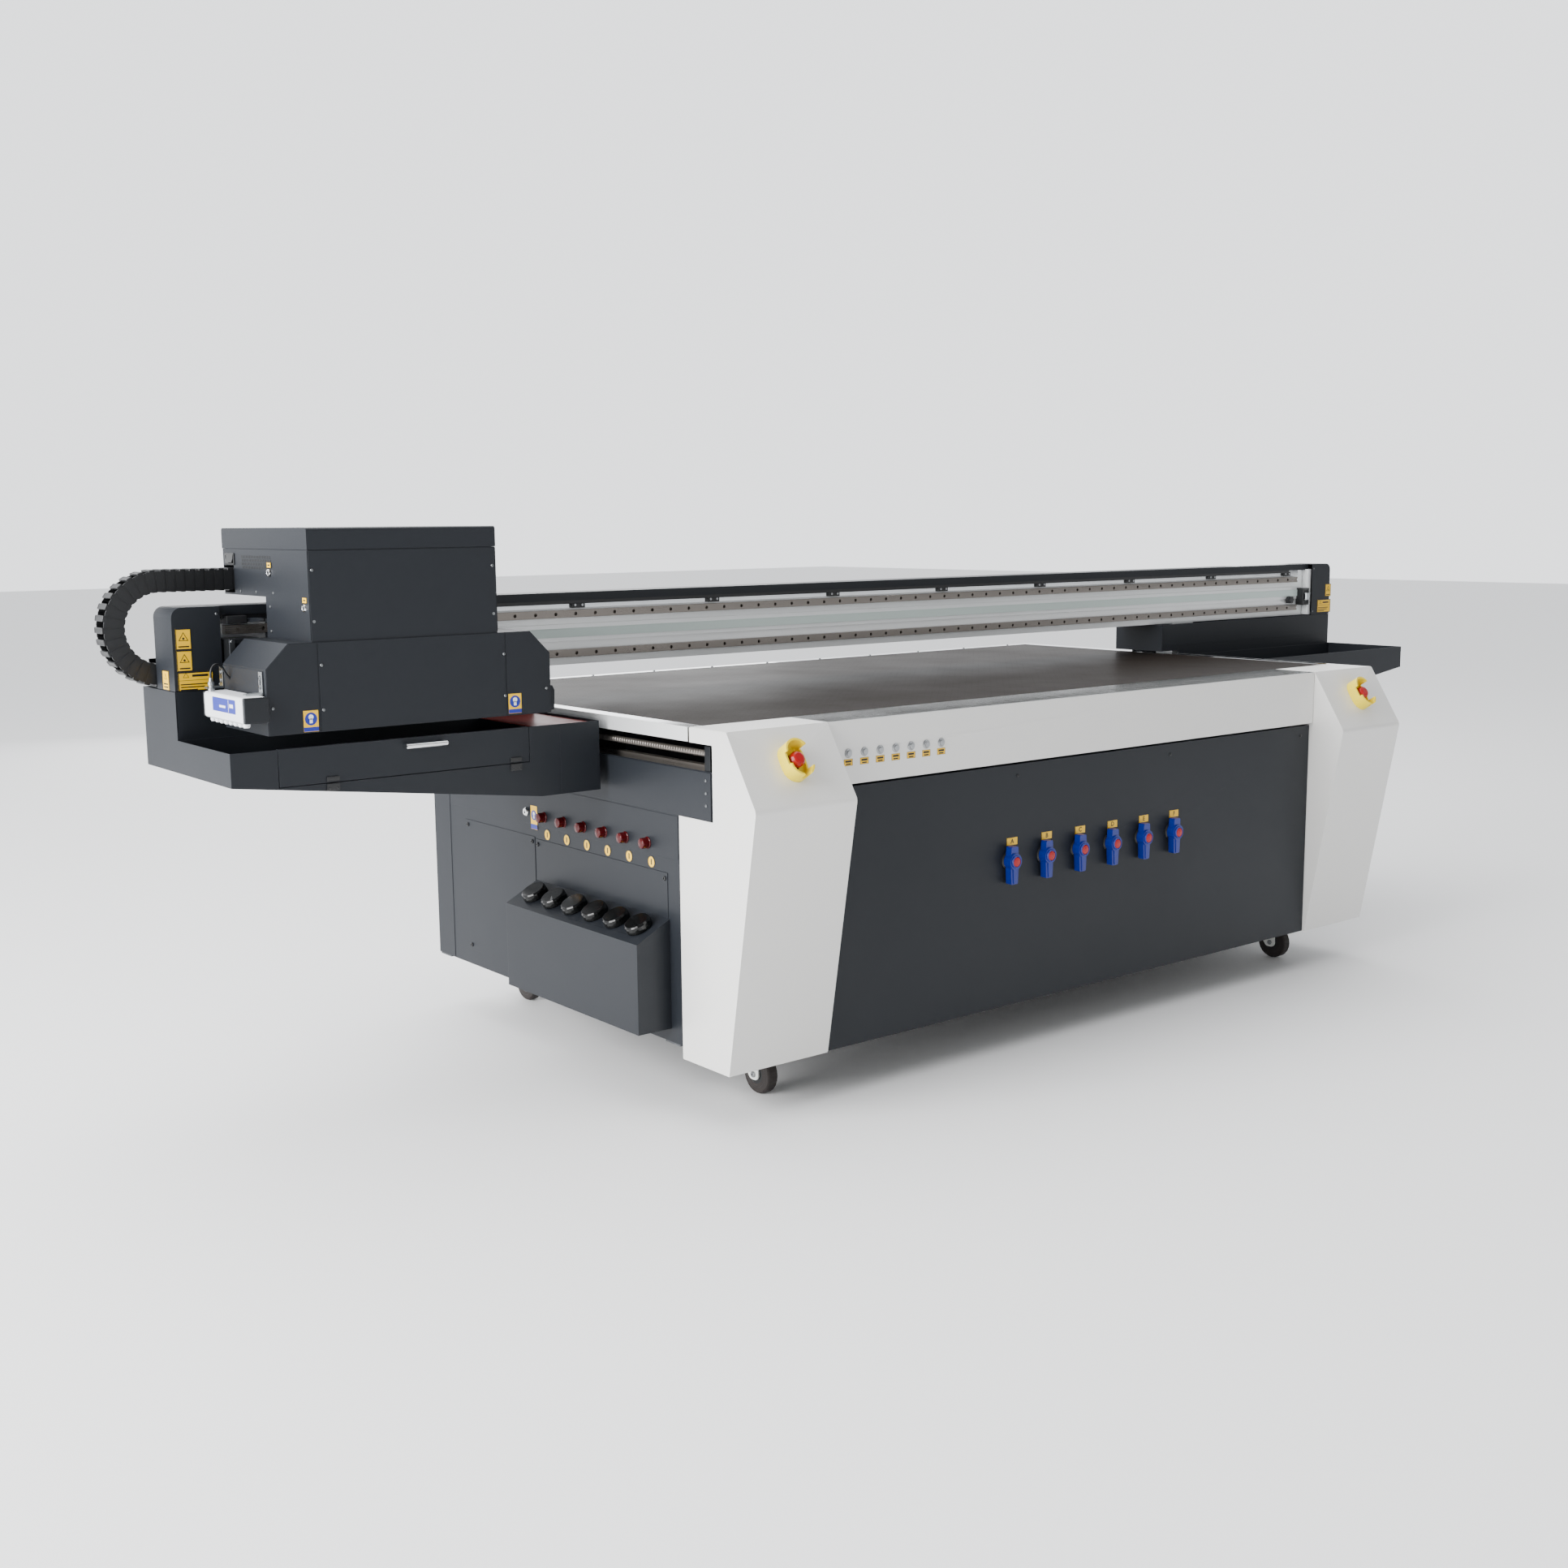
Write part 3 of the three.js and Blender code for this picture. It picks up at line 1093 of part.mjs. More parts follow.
// UV lamp: a deep body with a lens recess below and cooling fins on top.
function uvLamp(x0) {
  const x1 = x0 + LAMP_LENGTH;
  const y0 = (SKIRT_Y + SKIRT_BACK - LAMP_DEPTH) / 2;
  const y1 = y0 + LAMP_DEPTH;
  const top = LAMP_BOTTOM + LAMP_HEIGHT;
  const recess = box(x0 + LAMP_LENS_EDGE, x1 - LAMP_LENS_EDGE, y0 + LAMP_LENS_EDGE, y1 - LAMP_LENS_EDGE,
    LAMP_BOTTOM - PAST, LAMP_BOTTOM + LAMP_LENS_DEPTH);
  const finPitch = LAMP_DEPTH / LAMP_FINS;
  const slots = [];
  for (let i = 1; i < LAMP_FINS; i++) {
    const y = y0 + i * finPitch;
    slots.push(box(x0 - PAST, x1 + PAST, y - finPitch / 4, y + finPitch / 4,
      top - LAMP_FIN_DEPTH, top + PAST));
  }
  return cut(box(x0, x1, y0, y1, LAMP_BOTTOM, top), recess, ...slots);
}

part(carriage, "head_skirt", headSkirt(), darkPaint);
part(carriage, "print_head_plate", headPlate(), headPlateMetal);
part(carriage, "uv_lamp_left", uvLamp((skirtLeft + CARRIAGE_X - LAMP_LENGTH) / 2), lampMetal);
part(carriage, "uv_lamp_right", uvLamp((skirtRight + carriageRight - LAMP_LENGTH) / 2), lampMetal);

// ---------- origin at the middle of the footprint ----------

const extent = new THREE.Box3().setFromObject(machine);
const centre = extent.getCenter(new THREE.Vector3());
machine.position.set(-centre.x, -centre.y, -extent.min.z);

export default machine;
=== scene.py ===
import json
import math
from contextlib import contextmanager

import bmesh
import bpy
from bpy.props import FloatProperty, FloatVectorProperty, IntProperty, PointerProperty
from mathutils import Matrix, Vector


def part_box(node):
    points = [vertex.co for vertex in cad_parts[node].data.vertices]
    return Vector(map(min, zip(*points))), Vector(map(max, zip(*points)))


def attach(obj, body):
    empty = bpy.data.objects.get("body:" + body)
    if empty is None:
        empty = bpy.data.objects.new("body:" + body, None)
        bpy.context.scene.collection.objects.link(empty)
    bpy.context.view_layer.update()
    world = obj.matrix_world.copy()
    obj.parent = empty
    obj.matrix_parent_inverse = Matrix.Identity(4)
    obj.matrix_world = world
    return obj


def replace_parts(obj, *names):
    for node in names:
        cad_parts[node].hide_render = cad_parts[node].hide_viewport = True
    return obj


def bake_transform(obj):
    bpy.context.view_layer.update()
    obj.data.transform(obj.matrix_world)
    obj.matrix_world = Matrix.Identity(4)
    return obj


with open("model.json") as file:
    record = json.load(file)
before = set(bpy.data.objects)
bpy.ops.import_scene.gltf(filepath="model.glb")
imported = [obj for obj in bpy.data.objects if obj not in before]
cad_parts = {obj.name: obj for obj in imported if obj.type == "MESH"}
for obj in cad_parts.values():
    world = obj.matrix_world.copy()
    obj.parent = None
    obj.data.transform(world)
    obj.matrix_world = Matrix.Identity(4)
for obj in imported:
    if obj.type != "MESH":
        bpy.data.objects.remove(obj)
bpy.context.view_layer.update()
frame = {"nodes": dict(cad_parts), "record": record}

bl_info = {
    "name": "Flatbed UV printer",
    "version": (1, 0, 0),
    "blender": (4, 5, 0),
    "location": "3D View > Sidebar > Printer",
    "description": "Dresses the frame of a flatbed UV printer with its visible pieces and finishes",
    "category": "Object",
}

NODES = frame["nodes"]
MM = 0.001

# The machine is measured in millimetres from the floor under the bed's front left corner.
CORNER = Vector((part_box("vacuum_bed")[0].x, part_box("vacuum_bed")[0].y, 0.0))
FINISH = {}


RIGHT, LEFT = (1, 0, 0), (-1, 0, 0)
BACK, FRONT = (0, 1, 0), (0, -1, 0)
UP, DOWN = (0, 0, 1), (0, 0, -1)


def at(x, y, z):
    """A point of the machine, in metres in the frame."""
    return CORNER + Vector((x, y, z)) * MM


def span(name):
    """Lowest and highest corner of a node of the frame, in the machine's millimetres."""
    low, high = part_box(name)
    return (low - CORNER) / MM, (high - CORNER) / MM


BED_LOW, BED_HIGH = span("vacuum_bed")
LENGTH = BED_HIGH.x
DEPTH = BED_HIGH.y
BED_TOP = BED_HIGH.z
PANEL_Y = span("front_panel")[0].y
# Outer face of the apron under the bed's front edge.
APRON_Y = -142.0
HOUSING_LEFT = span("gantry_end_left")
HOUSING_RIGHT = span("gantry_end_right")
# Face of the beam that the drive belt runs along.
BEAM_Y = span("x_rail_upper")[1].y + 0.3
CARRIAGE_LOW, CARRIAGE_HIGH = span("carriage_box")
LID_HIGH = span("carriage_lid")[1]
SKIRT_LOW, SKIRT_HIGH = span("head_skirt")
TRAY_LOW, TRAY_HIGH = span("station_tray")
RIGHT_TRAY_LOW, RIGHT_TRAY_HIGH = span("right_tray")
DOOR_LOW, DOOR_HIGH = span("tray_door")
VALVES = ["a", "b", "c", "d", "e", "f"]
# The ball screws' middle from the bed's ends, and their height.
SCREW_X = 24
SCREW_Z = 861
CASTERS = ["front_left", "front_right", "back_left", "back_right"]


# ---------- modelling steps ----------

def only(piece):
    """Selects one piece and makes it the active one."""
    bpy.ops.object.select_all(action="DESELECT")
    piece.select_set(True)
    bpy.context.view_layer.objects.active = piece


def named(name):
    """Names the piece that was just added, and its mesh."""
    piece = bpy.context.object
    piece.name = name
    piece.data.name = name
    return piece


def settle(piece):
    """Moves a piece's place, turn and size into its mesh."""
    only(piece)
    bpy.ops.object.transform_apply(location=True, rotation=True, scale=True)
    return piece


@contextmanager
def editing(piece, kind="FACE", pick=lambda element: True):
    """Edit mode on a piece, with the faces, edges or corners that pick accepts selected."""
    only(piece)
    bpy.ops.object.mode_set(mode="EDIT")
    bpy.ops.mesh.select_mode(type=kind)
    bpy.ops.mesh.select_all(action="DESELECT")
    net = bmesh.from_edit_mesh(piece.data)
    for element in {"FACE": net.faces, "EDGE": net.edges, "VERT": net.verts}[kind]:
        if pick(element):
            element.select_set(True)
    net.select_flush_mode()
    bmesh.update_edit_mesh(piece.data)
    yield
    bpy.ops.object.mode_set(mode="OBJECT")


def facing(direction):
    """Picks the faces that look along a direction."""
    wanted = Vector(direction).normalized()
    return lambda face: face.normal.dot(wanted) > 0.9


def sharp(edge):
    """Picks the edges where two faces meet at more than 35 degrees."""
    return len(edge.link_faces) == 2 and edge.calc_face_angle(0.0) > math.radians(35)


def soften(piece, width, steps=2):
    """Rounds every sharp edge of a piece."""
    with editing(piece, "EDGE", sharp):
        bpy.ops.mesh.bevel(offset=width * MM, segments=steps, affect="EDGES", clamp_overlap=True)
    return piece


def block(name, low, high, edge=1.0, steps=2):
    """A box between two corners with rounded edges."""
    low = Vector(low)
    high = Vector(high)
    bpy.ops.object.select_all(action="DESELECT")
    bpy.ops.mesh.primitive_cube_add(size=1, location=at(*((low + high) / 2)))
    piece = named(name)
    piece.scale = Vector([abs(side) for side in (high - low)]) * MM
    settle(piece)
    return soften(piece, edge, steps) if edge else piece


def bar(name, start, direction, radius, length, sides=24, edge=0.6):
    """A round bar from a point along a direction, with rounded rims."""
    way = Vector(direction).normalized()
    middle = Vector(start) + way * length / 2
    bpy.ops.object.select_all(action="DESELECT")
    bpy.ops.mesh.primitive_cylinder_add(vertices=sides, radius=radius * MM, depth=length * MM,
                                        location=at(*middle), rotation=way.to_track_quat("Z", "Y").to_euler())
    piece = settle(named(name))
    return soften(piece, edge) if edge else piece


def trace(name, points, closed):
    """A wire through points, drawn by extruding one corner along them."""
    bpy.ops.object.select_all(action="DESELECT")
    bpy.ops.mesh.primitive_plane_add(size=MM, location=at(*points[0]))
    piece = settle(named(name))
    path = list(points) + ([points[0]] if closed else [])
    with editing(piece, "VERT"):
        bpy.ops.mesh.merge(type="CENTER")
        for here, there in zip(path, path[1:]):
            step = (Vector(there) - Vector(here)) * MM
            bpy.ops.mesh.extrude_region_move(TRANSFORM_OT_translate={"value": step})
        bpy.ops.mesh.select_all(action="SELECT")
        bpy.ops.mesh.remove_doubles(threshold=1e-6)
    return piece


def prism(name, points, push, edge=0.0, steps=2):
    """A flat outline pushed along a vector into a solid."""
    piece = trace(name, points, closed=True)
    with editing(piece, "EDGE"):
        bpy.ops.mesh.edge_face_add()
        bpy.ops.mesh.select_mode(type="FACE")
        bpy.ops.mesh.select_all(action="SELECT")
        bpy.ops.mesh.extrude_region_move(TRANSFORM_OT_translate={"value": Vector(push) * MM})
        bpy.ops.mesh.select_all(action="SELECT")
        bpy.ops.mesh.normals_make_consistent(inside=False)
    return soften(piece, edge, steps) if edge else piece


def turned(name, profile, centre, direction, steps=28):
    """A turned piece, from (radius, distance) pairs spun about a line."""
    piece = trace(name, [(radius, 0, distance) for radius, distance in profile], closed=False)
    with editing(piece, "VERT"):
        bpy.ops.mesh.spin(steps=steps, angle=2 * math.pi, center=CORNER, axis=UP)
        bpy.ops.mesh.select_all(action="SELECT")
        bpy.ops.mesh.remove_doubles(threshold=1e-6)
        bpy.ops.mesh.normals_make_consistent(inside=False)
    turn = Vector(direction).to_track_quat("Z", "Y").to_matrix().to_4x4()
    return set_down(piece, Matrix.Translation(at(*centre)) @ turn)


def set_down(piece, place):
    """Puts a piece that was modelled at the machine's origin in its place."""
    piece.matrix_world = place @ Matrix.Translation(-CORNER)
    return settle(piece)


def facing_place(centre, right, up):
    """The place of a flat piece: its own X runs to the right, its Y up, and it faces their normal."""
    right = Vector(right).normalized()
    up = Vector(up).normalized()
    axes = Matrix([right, up, right.cross(up)]).transposed().to_4x4()
    return Matrix.Translation(at(*centre)) @ axes


def copies(piece, name, shifts):
    """Copies of a piece, each with its own mesh, moved by each shift from the first."""
    made = [piece]
    for number, shift in enumerate(shifts, start=2):
        only(piece)
        bpy.ops.object.duplicate(linked=False)
        twin = named(f"{name}_{number}")
        twin.location = Vector(shift) * MM
        made.append(settle(twin))
    piece.name = f"{name}_1"
    return made


def joined(name, pieces, finish=None):
    """Joins pieces into one, which keeps their own finishes and goes by the one given."""
    only(pieces[0])
    for piece in pieces[1:]:
        piece.select_set(True)
    if len(pieces) > 1:
        bpy.ops.object.join()
    whole = named(name)
    if finish:
        whole["finish"] = finish
    return whole


def sink(piece, direction, rim, depth):
    """Insets the face of a piece that looks along a direction and lifts or lowers it."""
    with editing(piece, "FACE", facing(direction)):
        bpy.ops.mesh.inset(thickness=rim * MM, depth=depth * MM)
    return piece


def carve(piece, *cutters):
    """Cuts shapes out of a piece."""
    for cutter in cutters:
        only(piece)
        cut = piece.modifiers.new("cut", "BOOLEAN")
        cut.operation = "DIFFERENCE"
        cut.solver = "EXACT"
        cut.object = cutter
        bpy.ops.object.modifier_apply(modifier=cut.name)
        bpy.data.objects.remove(cutter)
    return piece


def repeat(piece, count, step):
    """Repeats a piece along a step into one mesh."""
    only(piece)
    line = piece.modifiers.new("row", "ARRAY")
    line.count = count
    line.use_relative_offset = False
    line.use_constant_offset = True
    line.constant_offset_displace = Vector(step) * MM
    bpy.ops.object.modifier_apply(modifier=line.name)
    return piece


def paint(piece, finish):
    """Gives a piece one finish all over."""
    piece.data.materials.clear()
    piece.data.materials.append(FINISH[finish][0])
    piece["finish"] = finish
    return piece


def done(piece, body, finish=None):
    """Finishes a piece: its shading, its finish and the body that it rides on, if it rides on one."""
    if finish:
        paint(piece, finish)
    only(piece)
    bpy.ops.object.shade_smooth_by_angle(angle=math.radians(32))
    level = piece.modifiers.new("flat faces stay flat", "WEIGHTED_NORMAL")
    level.keep_sharp = True
    bpy.ops.object.modifier_apply(modifier=level.name)
    if body:
        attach(piece, body)
    return piece


def screws(name, places, direction, body, radius=3.6, finish="screw steel"):
    """Button-head screws with a socket, all alike, at several places on a flat face."""
    first = turned(name, [(0, 0), (radius, 0), (radius, radius * 0.25), (radius * 0.8, radius * 0.55),
                          (radius * 0.4, radius * 0.65), (radius * 0.34, radius * 0.3), (0, radius * 0.3)],
                   places[0], direction, steps=12)
    start = Vector(places[0])
    group = copies(first, name, [Vector(place) - start for place in places[1:]])
    return done(joined(name, group), body, finish)


def sticker(name, centre, right, up, width, height, marks, body, ground="yellow vinyl", border=True):
    """A printed label: a thin film, a dark border and plain marks.

    marks are dark shapes: ("line", x, y, width, height), ("triangle", x, y, size) and ("disc", x, y, radius).
    """
    film = prism(name, [(-width / 2, -height / 2, 0), (width / 2, -height / 2, 0), (width / 2, height / 2, 0),
                        (-width / 2, height / 2, 0)], (0, 0, 0.4))
    paint(film, ground)
    edges = []
    rim = 0.045 * min(width, height)
    if border:
        for end in (-1, 1):
            edges.append(("line", 0, end * (height - rim) / 2, width, rim))
            edges.append(("line", end * (width - rim) / 2, 0, rim, height))
    drawn = [film]
    for number, mark in enumerate([*edges, *marks]):
        drawn.append(printed_mark(f"{name}_mark_{number}", mark))
    return done(set_down(joined(name, drawn, ground), facing_place(centre, right, up)), body)


def printed_mark(name, mark):
    """One dark mark of a label, a thin raised shape."""
    kind, x, y, size = mark[:4]
    if kind == "line":
        half = Vector((size / 2, mark[4] / 2, 0))
        shape = block(name, Vector((x, y, 0.4)) - half, Vector((x, y, 0.6)) + half, edge=0)
    elif kind == "triangle":
        shape = prism(name, triangle(x, y, size), (0, 0, 0.2))
        carve(shape, prism(f"{name}_hole", triangle(x, y, size * 0.78), (0, 0, 2)))
    elif kind == "disc":
        shape = bar(name, (x, y, 0.4), UP, size, 0.2, sides=24, edge=0)
    else:
        raise ValueError(f"no mark of kind {kind}")
    return paint(shape, mark[5] if len(mark) > 5 else "black print")


def triangle(x, y, size):
    """The corners of an upright triangle about a point."""
    return [(x + size * math.sin(turn), y + size * math.cos(turn), 0.4)
            for turn in (0, 2 * math.pi / 3, 4 * math.pi / 3)]


def stadium(half_width, half_length, height, steps=10):
    """The outline of a slot with round ends, long along Y."""
    straight = half_length - half_width
    points = []
    for sign in (1, -1):
        for k in range(steps + 1):
            turn = math.pi * k / steps
            points.append((sign * half_width * math.cos(turn),
                           sign * (straight + half_width * math.sin(turn)), height))
    return points


# ---------- finishes ----------

def linear(code):
    """An sRGB hex colour as linear red, green, blue and alpha."""
    parts = [int(code[i:i + 2], 16) / 255 for i in (0, 2, 4)]
    return tuple(c / 12.92 if c <= 0.04045 else ((c + 0.055) / 1.055) ** 2.4 for c in parts) + (1.0,)


def hexed(colour):
    """A property's sRGB colour as hex."""
    return "".join(f"{round(part * 255):02x}" for part in colour)


def node(tree, kind, settings=None, links=None):
    """Adds one shader node, with its settings and the sockets that feed it."""
    new = tree.nodes.new("ShaderNode" + kind)
    for key, value in (settings or {}).items():
        if isinstance(key, str) and hasattr(new, key):
            setattr(new, key, value)
        else:
            new.inputs[key].default_value = value
    for key, socket in (links or {}).items():
        tree.links.new(socket, new.inputs[key])
    return new


def surface(name, colour, roughness, metallic=0.0, slot=None, grain=1.0, stretch=(1, 1, 1), tint=0.08,
            spread=0.05, relief=0.01, cloud=180.0, holes=None, shader=None):
    """Makes one finish.

    grain is the size of its fine texture in millimetres, stretched along the axes; tint and spread are
    how much its colour and roughness vary; relief is the height of the texture in millimetres; cloud is
    the size of its broad unevenness in millimetres; holes is the pitch and radius of drilled holes, whose
    insides are painted near-black as painted shade.
    """
    material = bpy.data.materials.new(name)
    material.use_nodes = True
    tree = material.node_tree
    skin = tree.nodes["Principled BSDF"]
    skin.inputs["Metallic"].default_value = metallic
    for key, value in (shader or {}).items():
        skin.inputs[key].default_value = value
    place = node(tree, "TexCoord").outputs["Object"]
    scaled = node(tree, "Mapping", {"Scale": [1 / (grain * s * MM) for s in stretch]}, {"Vector": place})
    fine = node(tree, "TexNoise", {"Scale": 1.0, "Detail": 3.0, "Roughness": 0.6},
                {"Vector": scaled.outputs["Vector"]})
    broad = node(tree, "TexNoise", {"Scale": 1 / (cloud * MM), "Detail": 4.0}, {"Vector": place})
    both = node(tree, "Math", {"operation": "MULTIPLY_ADD", 1: 0.5},
                {0: fine.outputs["Fac"]})
    halved = node(tree, "Math", {"operation": "MULTIPLY", 1: 0.5}, {0: broad.outputs["Fac"]})
    tree.links.new(halved.outputs[0], both.inputs[2])
    base = Vector(linear(colour)[:3])
    dark = [*(base * (1 - tint)), 1.0]
    light = [*(base * (1 + tint)), 1.0]
    tone = node(tree, "Mix", {"data_type": "RGBA", 6: dark, 7: light}, {0: both.outputs[0]})
    gloss = node(tree, "MapRange", {1: 0.3, 2: 0.7, 3: max(roughness - spread, 0.02), 4: roughness + spread},
                 {0: both.outputs[0]})
    shade = tone.outputs[2]
    dull = gloss.outputs[0]
    # Drilled holes are painted near-black and fully rough: painted shade inside the holes, which are not cut.
    if holes:
        pitch, radius = holes
        cells = node(tree, "TexVoronoi", {"voronoi_dimensions": "2D", "Scale": 1 / (pitch * MM),
                                          "Randomness": 0.0}, {"Vector": place})
        hole = node(tree, "Math", {"operation": "LESS_THAN", 1: radius / pitch},
                    {0: cells.outputs["Distance"]})
        shade = node(tree, "Mix", {"data_type": "RGBA", 7: (0.004, 0.004, 0.004, 1.0)},
                     {0: hole.outputs[0], 6: shade}).outputs[2]
        dull = node(tree, "Math", {"operation": "MAXIMUM"}, {0: dull, 1: hole.outputs[0]}).outputs[0]
    tree.links.new(shade, skin.inputs["Base Color"])
    tree.links.new(dull, skin.inputs["Roughness"])
    if relief:
        bump = node(tree, "Bump", {"Strength": 1.0, "Distance": relief * MM}, {"Height": fine.outputs["Fac"]})
        tree.links.new(bump.outputs["Normal"], skin.inputs["Normal"])
    FINISH[name] = (material, slot)
    return material


class PrinterColours(bpy.types.PropertyGroup):
    """The paint colours of the machine."""
    dark_paint: FloatVectorProperty(name="Dark paint",
                                    description="Powder coat of the cabinet, gantry and carriage",
                                    default=(0.118, 0.129, 0.150), min=0, max=1, size=3,
                                    subtype="COLOR_GAMMA")
    light_paint: FloatVectorProperty(name="Light paint",
                                     description="Satin silver paint of the leg covers and apron",
                                     default=(0.89, 0.885, 0.875), min=0, max=1, size=3,
                                     subtype="COLOR_GAMMA")
    bed_plate: FloatVectorProperty(name="Bed", description="Hard anodised vacuum bed",
                                   default=(0.15, 0.13, 0.118), min=0, max=1, size=3, subtype="COLOR_GAMMA")
    valve: FloatVectorProperty(name="Valve handle", description="Moulded handles of the vacuum valves",
                               default=(0.03, 0.13, 0.50), min=0, max=1, size=3, subtype="COLOR_GAMMA")


class PrinterSizes(bpy.types.PropertyGroup):
    """Sizes of the fittings, in metres."""
    hole_pitch: FloatProperty(name="Rail hole pitch",
                              description="Distance between the screws of a linear rail", default=0.060,
                              min=0.02, max=0.2, unit="LENGTH")
    link_pitch: FloatProperty(name="Chain link pitch", description="Length of one link of the cable chain",
                              default=0.0224, min=0.01, max=0.1, unit="LENGTH")
    lamp_radius: FloatProperty(name="Pilot lamp radius", description="Radius of a pilot lamp's lens",
                               default=0.013, min=0.004, max=0.03, unit="LENGTH")
    screw_lead: FloatProperty(name="Ball screw lead",
                              description="Distance between turns of the ball screw's groove",
                              default=0.010, min=0.004, max=0.04, unit="LENGTH")
    valve_tag: FloatProperty(name="Valve tag width", description="Width of the tag above each valve",
                             default=0.040, min=0.01, max=0.1, unit="LENGTH")
    ruler_ticks: IntProperty(name="Ruler marks", description="Marks along the ruler on the front edge",
                             default=37, min=2, max=200)


def round_edges(piece):
    """Gives a piece of the frame the small edge radius of folded sheet or moulding, by modifiers."""
    merge = piece.modifiers.new("merge", "WELD")
    merge.merge_threshold = 1e-5
    edge = piece.modifiers.new("edge radius", "BEVEL")
    edge.width = 0.7 * MM
    edge.segments = 2
    edge.limit_method = "ANGLE"
    edge.angle_limit = math.radians(30)
    edge.harden_normals = True


class PRINTER_OT_finishes(bpy.types.Operator):
    """Make every finish and put it on the pieces of the frame"""
    bl_idname = "printer.finishes"
    bl_label = "Finishes"

    def execute(self, context):
        colours = context.scene.printer_colours
        # Polyester powder coat on sheet steel: satin with a fine orange peel.
        surface("powder coat", hexed(colours.dark_paint), 0.44, 0.0, "dark_paint", grain=2.2, tint=0.08,
                spread=0.05, relief=0.03, cloud=420, shader={"Specular IOR Level": 0.25})
        # Metallic silver enamel: smooth, pale, with a soft broad shine.
        surface("silver enamel", hexed(colours.light_paint), 0.36, 0.1, "light_paint", grain=0.9, tint=0.03,
                spread=0.04, relief=0.01, cloud=500, shader={"Specular IOR Level": 0.4})
        # Hard anodised aluminium, ground crosswise: dark brown, glossy, with fine drilled suction holes whose
        # insides are painted near-black as painted shade.
        surface("anodised bed plate", hexed(colours.bed_plate), 0.42, 0.0, "bed_plate", grain=0.8,
                stretch=(1, 160, 1), tint=0.16, spread=0.06, relief=0.004, cloud=260, holes=(25.0, 1.0),
                shader={"Specular IOR Level": 0.015})
        # Extruded aluminium, satin anodised: lines run along the extrusion.
        surface("extruded aluminium", "f4f6f6", 0.36, 0.35, "beam_metal", grain=0.7, stretch=(140, 1, 1),
                tint=0.04, spread=0.08, relief=0.006)
        # Milled aluminium plate: bright with short tool marks.
        surface("milled aluminium", "b4b8ba", 0.32, 1.0, "head_plate", grain=0.8, stretch=(1, 30, 1),
                tint=0.08, relief=0.01)
        # Induction hardened rail steel, ground: grey brown and glossy.
        surface("ground rail steel", "857f79", 0.30, 0.75, "rail_steel", grain=0.5, stretch=(80, 80, 1),
                tint=0.07, relief=0.003)
        # Polished stainless strip: a mirror with a slight wave.
        surface("polished stainless", "d3d5d6", 0.09, 1.0, "rail_steel", grain=24.0, stretch=(3, 1, 1),
                tint=0.03, spread=0.04, relief=0.05)
        # Turned stainless steel of screws and buttons.
        surface("stainless steel", "a6a8aa", 0.30, 1.0, "button_metal", grain=0.4, tint=0.05, relief=0.004)
        # Zinc plated machine screws: grey with a soft shine.
        surface("screw steel", "7f8284", 0.36, 0.9, "button_metal", grain=0.6, tint=0.08, relief=0.004)
        # Chromium plated zinc of the pull handle.
        surface("chrome plate", "e4e5e6", 0.07, 1.0, "button_metal", grain=6.0, tint=0.02, spread=0.03,
                relief=0.004)
        # Dull enamel brushed on the welded frame.
        surface("frame enamel", "4a4d50", 0.55, 0.3, "steel_tube", grain=3.0, tint=0.12, relief=0.05)
        # Glass-filled nylon of the cable chain and brackets: matt black.
        surface("black nylon", "17181a", 0.42, 0.0, "black_plastic", grain=0.7, tint=0.15, relief=0.02)
        # Moulded gloss ABS of the ink caps.
        surface("gloss black plastic", "0b0c0c", 0.12, 0.0, "black_plastic", grain=1.2, tint=0.1, spread=0.02,
                relief=0.002, cloud=60.0, shader={"Specular IOR Level": 0.4})
        # Injection moulded PVC handle, semi gloss.
        surface("blue moulded handle", hexed(colours.valve), 0.33, 0.0, "blue_plastic", grain=0.9, tint=0.06,
                relief=0.012)
        # Red ABS of the mushroom button and valve caps.
        surface("red moulded button", "a3060c", 0.28, 0.0, "red_plastic", grain=0.8, tint=0.06, relief=0.01,
                shader={"Specular IOR Level": 0.4})
        # Printed vinyl film: smooth, with a soft gloss.
        surface("yellow vinyl", "f2bf00", 0.38, 0.0, None, grain=1.5, tint=0.03, relief=0.004)
        surface("blue vinyl", "0c2291", 0.38, 0.0, "blue_plastic", grain=1.5, tint=0.03, relief=0.004)
        surface("white vinyl", "e9eaec", 0.38, 0.0, None, grain=1.5, tint=0.02, relief=0.004)
        surface("black print", "111213", 0.45, 0.0, "black_plastic", grain=1.0, tint=0.05, relief=0.0)
        # Polycarbonate guard: light yellow, glossy.
        surface("yellow guard plastic", "f0d428", 0.30, 0.0, None, grain=1.2, tint=0.03, relief=0.01,
                shader={"Subsurface Weight": 0.08})
        # Deep red acrylic lens over a dark reflector.
        surface("red lens", "4a060a", 0.24, 0.0, "red_plastic", grain=2.0, tint=0.10, relief=0.01,
                shader={"Specular IOR Level": 0.35})
        # White ABS of the ioniser's case.
        surface("white moulded case", "e6e8ec", 0.34, 0.0, None, grain=1.0, tint=0.02, relief=0.008)
        # Stove enamel on the pressed steel caster fork.
        surface("pale caster enamel", "f0f2ec", 0.35, 0.15, "fork_zinc", grain=2.0, tint=0.05, relief=0.03)
        # Rubber tread, dark brown and dull.
        surface("wheel rubber", "241e1c", 0.68, 0.0, "wheel_rubber", grain=1.2, tint=0.15, relief=0.05)
        # Black anodised lamp casting.
        surface("black anodised aluminium", "2a2c2f", 0.38, 0.7, "lamp_metal", grain=0.8, tint=0.1,
                relief=0.01)
        # Coated glass of the curing lamp.
        surface("lamp glass", "3a2f4a", 0.05, 0.0, "lamp_metal", grain=10.0, tint=0.05, relief=0.0,
                shader={"Coat Weight": 1.0})
